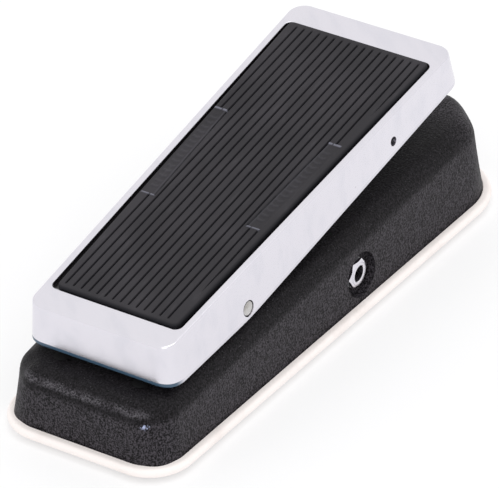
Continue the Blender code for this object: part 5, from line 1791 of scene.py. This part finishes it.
@dataclass
class Linkage:
    """The toothed rack that hangs from the treadle, and the block that keeps it in mesh."""

    module: float = 1.0 * MM
    half_depth: float = 2.5 * MM
    addendum: float = 0.65 * MM
    dedendum: float = 1.1 * MM
    backlash: float = 0.25 * MM
    teeth_below: int = 2
    teeth_above: int = 6
    pin_radius: float = 1.75 * MM
    pressure: float = math.radians(20)
    eye_half: float = 5.6 * MM
    eye_rise: float = 4.2 * MM
    slot_reach: float = 1.5 * MM

    def outline(self, pin: Vector, pinion_z: float) -> Array:
        """The rack's side view: straight back, a wide eye at the pin, and trapezoid teeth a pitch apart.

        Args:
            pin: Middle of the pin.
            pinion_z: Height of the pinion's axis.

        Returns:
            Points (y, z) round the outline.
        """
        pitch = math.pi * self.module
        root = pin.y - self.half_depth
        tip = root - self.dedendum - self.addendum
        at_line = pitch / 4 - self.backlash / 2
        half_root = at_line + self.dedendum * math.tan(self.pressure)
        half_tip = at_line - self.addendum * math.tan(self.pressure)
        back, bottom = pin.y + self.half_depth, pinion_z - 2 * pitch
        eye, low, high = self.eye_half, pin.z - self.eye_rise, pin.z + self.eye_rise
        body = [(back, bottom), (back, low - 3 * MM), (pin.y + eye, low), (pin.y + eye, high),
                (pin.y - eye, high), (pin.y - eye, low), (root, low - 3 * MM)]
        centres = pinion_z + (np.arange(-self.teeth_below, self.teeth_above)[::-1] + 0.5) * pitch
        tooth = np.array([(root, half_root), (tip, half_tip), (tip, -half_tip), (root, -half_root)])
        teeth = tooth[None] + np.stack([0 * centres, centres], -1)[:, None]
        return np.vstack([body, teeth.reshape(-1, 2), [(root, bottom)]])

    def make(self) -> None:
        """Builds and dresses the rack and its guide."""
        low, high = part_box("rack_pin")
        pin = (low + high) / 2
        gear_low, gear_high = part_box("pinion_gear")
        pinion_z = Vector(JOINTS["pot_spin"]["pos_m"]).z
        turn = np.radians(np.linspace(-90, 90, 13))
        reach, radius = self.slot_reach, self.pin_radius + 0.3 * MM
        arc = np.column_stack([reach + radius * np.cos(turn), radius * np.sin(turn)])
        eye = np.vstack([arc, -arc]) + (pin.y, pin.z)
        width = (gear_high.x - gear_low.x) / 2
        slab = prism(self.outline(pin, pinion_z), -width, width)
        rack = build("toothed_rack", slab, cut=[prism(eye, -5 * MM, 5 * MM)], bevel=0.15 * MM)
        dress(rack, NYLON, "gear_rack")
        low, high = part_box("rack_guide")
        dress(build("guide_block", moulded_block(low, high, 0.6 * MM, 0.4 * MM)), NYLON, "rack_guide")


@dataclass
class Footswitch:
    """The stomp switch under the toe: threaded barrel, domed plunger, nuts and washer."""

    barrel: float = 6.0 * MM
    plunger: float = 4.2 * MM
    across_flats: float = 14 * MM
    crown_flat: float = 1.6 * MM
    crown_drop: float = 1.5 * MM
    can_span: tuple[float, float] = (16 * MM, 32.5 * MM)
    barrel_floor: float = 35 * MM

    def make(self) -> None:
        """Builds and dresses the switch."""
        low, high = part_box("footswitch_plunger")
        middle = (low + high) / 2
        place = Matrix.Translation((middle.x, middle.y, 0))
        crown = high.z
        turn = np.linspace(0, math.pi / 2, 7)
        dome = [(self.crown_flat + (self.plunger - self.crown_flat) * math.sin(t),
                 crown - self.crown_drop * (1 - math.cos(t))) for t in turn]
        profile = [(0, crown), *dome, (self.plunger, low.z), (0, low.z)]
        dress(build("plunger_cap", lathe(profile, place)), HARDWARE_CHROME, "footswitch_plunger")
        hole = self.barrel + 0.3 * MM
        for name, node in (("switch_nut", "footswitch_top_nut"), ("switch_lock_nut", "footswitch_inner_nut")):
            low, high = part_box(node)
            dress(build(name, hex_nut(self.across_flats, hole, low.z, high.z, place)), ZINC, node)
        low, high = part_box("footswitch_washer")
        flat = washer((high.x - low.x) / 2, hole, low.z, high.z, place)
        dress(build("switch_washer", flat), ZINC, "footswitch_washer")
        low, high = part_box("footswitch_body")
        can_low, can_high = self.can_span
        can = moulded_block((low.x, low.y, can_low), (high.x, high.y, can_high), 1.0 * MM, 0.6 * MM)
        bore = self.plunger + 0.2 * MM
        barrel = threaded_barrel(self.barrel, bore, can_high - MM, high.z, self.barrel_floor, place)
        tags = [box((x - 0.5 * MM, middle.y + y - MM, low.z), (x + 0.5 * MM, middle.y + y + MM, can_low + MM))
                for x in (-4 * MM, 4 * MM) for y in (-8 * MM, 0, 8 * MM)]
        dress(build("switch_can", can, [barrel, *tags]), ZINC, "footswitch_body")


@dataclass
class Jack:
    """One socket through a side wall: a plastic body, and a plated nut, ring and washer at its mouth."""

    role: str
    axis: Axis
    barrel: float = 4.75 * MM
    bore: float = 3.4 * MM
    across_flats: float = 11.5 * MM
    mouth_start: float = 37.6 * MM
    body_span: tuple[float, float] = (9.6 * MM, 35.3 * MM)
    tag_span: tuple[float, float] = (5.5 * MM, 11 * MM)
    tag_half: float = 1.2 * MM
    mouth_edge: float = 0.3 * MM
    mouth_proud: float = 0.12 * MM

    def make(self) -> None:
        """Builds and dresses the jack."""
        low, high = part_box(self.role + "_jack_nut")
        middle = (low + high) / 2
        place = Matrix.Translation((0, middle.y, middle.z)) @ self.axis.value
        near, far = sorted((abs(low.x), abs(high.x)))
        hole = self.barrel + 0.3 * MM
        nut = hex_nut(self.across_flats, hole - 0.4 * MM, near, far, place, dish=0.12 * MM)
        lip = far + self.mouth_proud
        section = [(self.bore, self.mouth_start), (self.barrel, self.mouth_start), (self.barrel, far),
                   (self.barrel - self.mouth_edge, lip), (self.bore + self.mouth_edge, lip),
                   (self.bore, far - 0.2 * MM)]
        mouth_ring = lathe(section, place, 56, closed=True)
        dress(build(self.role + "_hex_nut", nut, [mouth_ring]), HARDWARE_CHROME, self.role + "_jack_nut")
        low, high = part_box(self.role + "_jack_washer")
        near, far = sorted((abs(low.x), abs(high.x)))
        flat = washer(self.across_flats * 0.56, hole, near, far, place)
        dress(build(self.role + "_washer", flat), ZINC, self.role + "_jack_washer")
        low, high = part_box(self.role + "_jack")
        side = 1 if high.x > 0 else -1
        near, far = mirrored(side, self.body_span)
        body = moulded_block((near, low.y, low.z), (far, high.y, high.z), 0.8 * MM, 0.5 * MM)
        barrel = threaded_barrel(self.barrel, self.bore, 34 * MM, self.mouth_start, 34.2 * MM, place)
        hollow = rod(self.bore, 12 * MM, self.mouth_start + MM, self.axis, (0, middle.y, middle.z))
        inner, outer = mirrored(side, self.tag_span)
        tags = [box((inner, y - self.tag_half, middle.z), (outer, y + self.tag_half, middle.z + 0.5 * MM))
                for y in (middle.y - 5 * MM, middle.y + 5 * MM)]
        dress(build(self.role + "_socket", body, [barrel, *tags], [hollow]), BLACK_PLASTIC, self.role + "_jack")


@dataclass
class Inside:
    """The parts inside the casting that keep their CAD shape and get a finish."""

    finishes: dict[str, Finish] = field(default_factory=lambda: {
        "battery": BATTERY_SLEEVE, "battery_snap": BLACK_PLASTIC, "battery_cradle": SHEET_STEEL,
        "battery_lead_black": BLACK_PLASTIC, "battery_lead_red": RED_WIRE,
        "circuit_board": CircuitBoard("circuit_board"),
        "electrolytic_capacitor_1": BLUE_SLEEVE, "electrolytic_capacitor_2": BLUE_SLEEVE,
        "film_capacitor_1": RESIN, "film_capacitor_2": RESIN, "inductor": FERRITE, "pinion_gear": NYLON,
        "pot_bracket": SHEET_STEEL, "potentiometer": ZINC, "standoff_heel": NYLON, "standoff_toe": NYLON,
        "transistor_1": BLACK_PLASTIC, "transistor_2": BLACK_PLASTIC,
    })

    def make(self) -> None:
        """Dresses every CAD node that is still shown; those that are not listed are zinc plated."""
        for name, node in frame["nodes"].items():
            if node.hide_render:
                continue
            finish = self.finishes.get(name, ZINC)
            node.data.materials.clear()
            node.data.materials.append(finish.material())
            LOG.info("%s: CAD shape in %s", name, finish.name)


# ---------------------------------------------------------------- studio


@dataclass
class Studio:
    """A pale floor, a bright even surround, soft lights and the camera."""

    azimuth: float = 33.29
    elevation: float = 34.10
    roll: float = -1.80
    distance: float = 1.93979
    aim: tuple[float, float, float] = (0.00352, -0.00584, 0.032)
    lens: float = 352.93
    surround: float = 1.0

    def camera(self) -> None:
        """Aims the camera: it looks at the aim from azimuth and elevation, and rolls about that line."""
        turn, rise, roll = (math.radians(v) for v in (self.azimuth, self.elevation, self.roll))
        back = Vector((math.sin(turn) * math.cos(rise), -math.cos(turn) * math.cos(rise), math.sin(rise)))
        right = Vector((0, 0, 1)).cross(back).normalized()
        up = back.cross(right)
        across = math.cos(roll) * right + math.sin(roll) * up
        upward = math.cos(roll) * up - math.sin(roll) * right
        data = bpy.data.cameras.new("camera")
        data.lens, data.sensor_width, data.clip_start = self.lens, 36.0, 0.01
        camera = add_object("camera", data)
        place = Matrix((across, upward, back)).transposed().to_4x4()
        place.translation = Vector(self.aim) + back * self.distance
        camera.matrix_world = place
        bpy.context.scene.camera = camera

    @staticmethod
    def light(name: str, place: Sequence[float], size: float, power: float) -> None:
        """A square soft light that looks at the pedal.

        Args:
            name: The light's name.
            place: Where it stands.
            size: Its side in metres.
            power: Its power in watts.
        """
        data = bpy.data.lights.new(name, "AREA")
        data.shape, data.size, data.energy = "SQUARE", size, power
        light = add_object(name, data)
        light.location = place
        light.rotation_euler = Vector(place).to_track_quat("Z", "Y").to_euler()

    def make(self) -> None:
        """Builds the studio."""
        world = bpy.data.worlds.new("surround")
        bpy.context.scene.world = world
        world.use_nodes = True
        background = world.node_tree.nodes["Background"]
        background.inputs["Color"].default_value = (1.0, 1.0, 1.0, 1.0)
        background.inputs["Strength"].default_value = self.surround
        bpy.context.scene.view_settings.view_transform = "Standard"
        self.light("overhead", (0.3, 0.1, 1.9), 1.2, 6)
        self.light("front", (0.9, -1.3, 1.0), 0.9, 2.2)
        reach = 6.0
        corners = np.array([(-reach, -reach, 0), (reach, -reach, 0), (reach, reach, 0), (-reach, reach, 0)])
        mesh = bpy.data.meshes.new("floor")
        mesh.from_pydata(corners.tolist(), [], [[0, 1, 2, 3]])
        floor = add_object("floor", mesh)
        mesh.materials.append(FLOOR.material())
        self.camera()


def main() -> None:
    logging.basicConfig(level=logging.INFO, format="%(name)s: %(message)s")
    Base().make()
    treadle = Treadle()
    treadle.make()
    Mat(treadle).make()
    Linkage().make()
    Footswitch().make()
    Jack("input", Axis.RIGHT).make()
    Jack("output", Axis.LEFT).make()
    Inside().make()
    Studio().make()


if __name__ == "__main__":
    main()
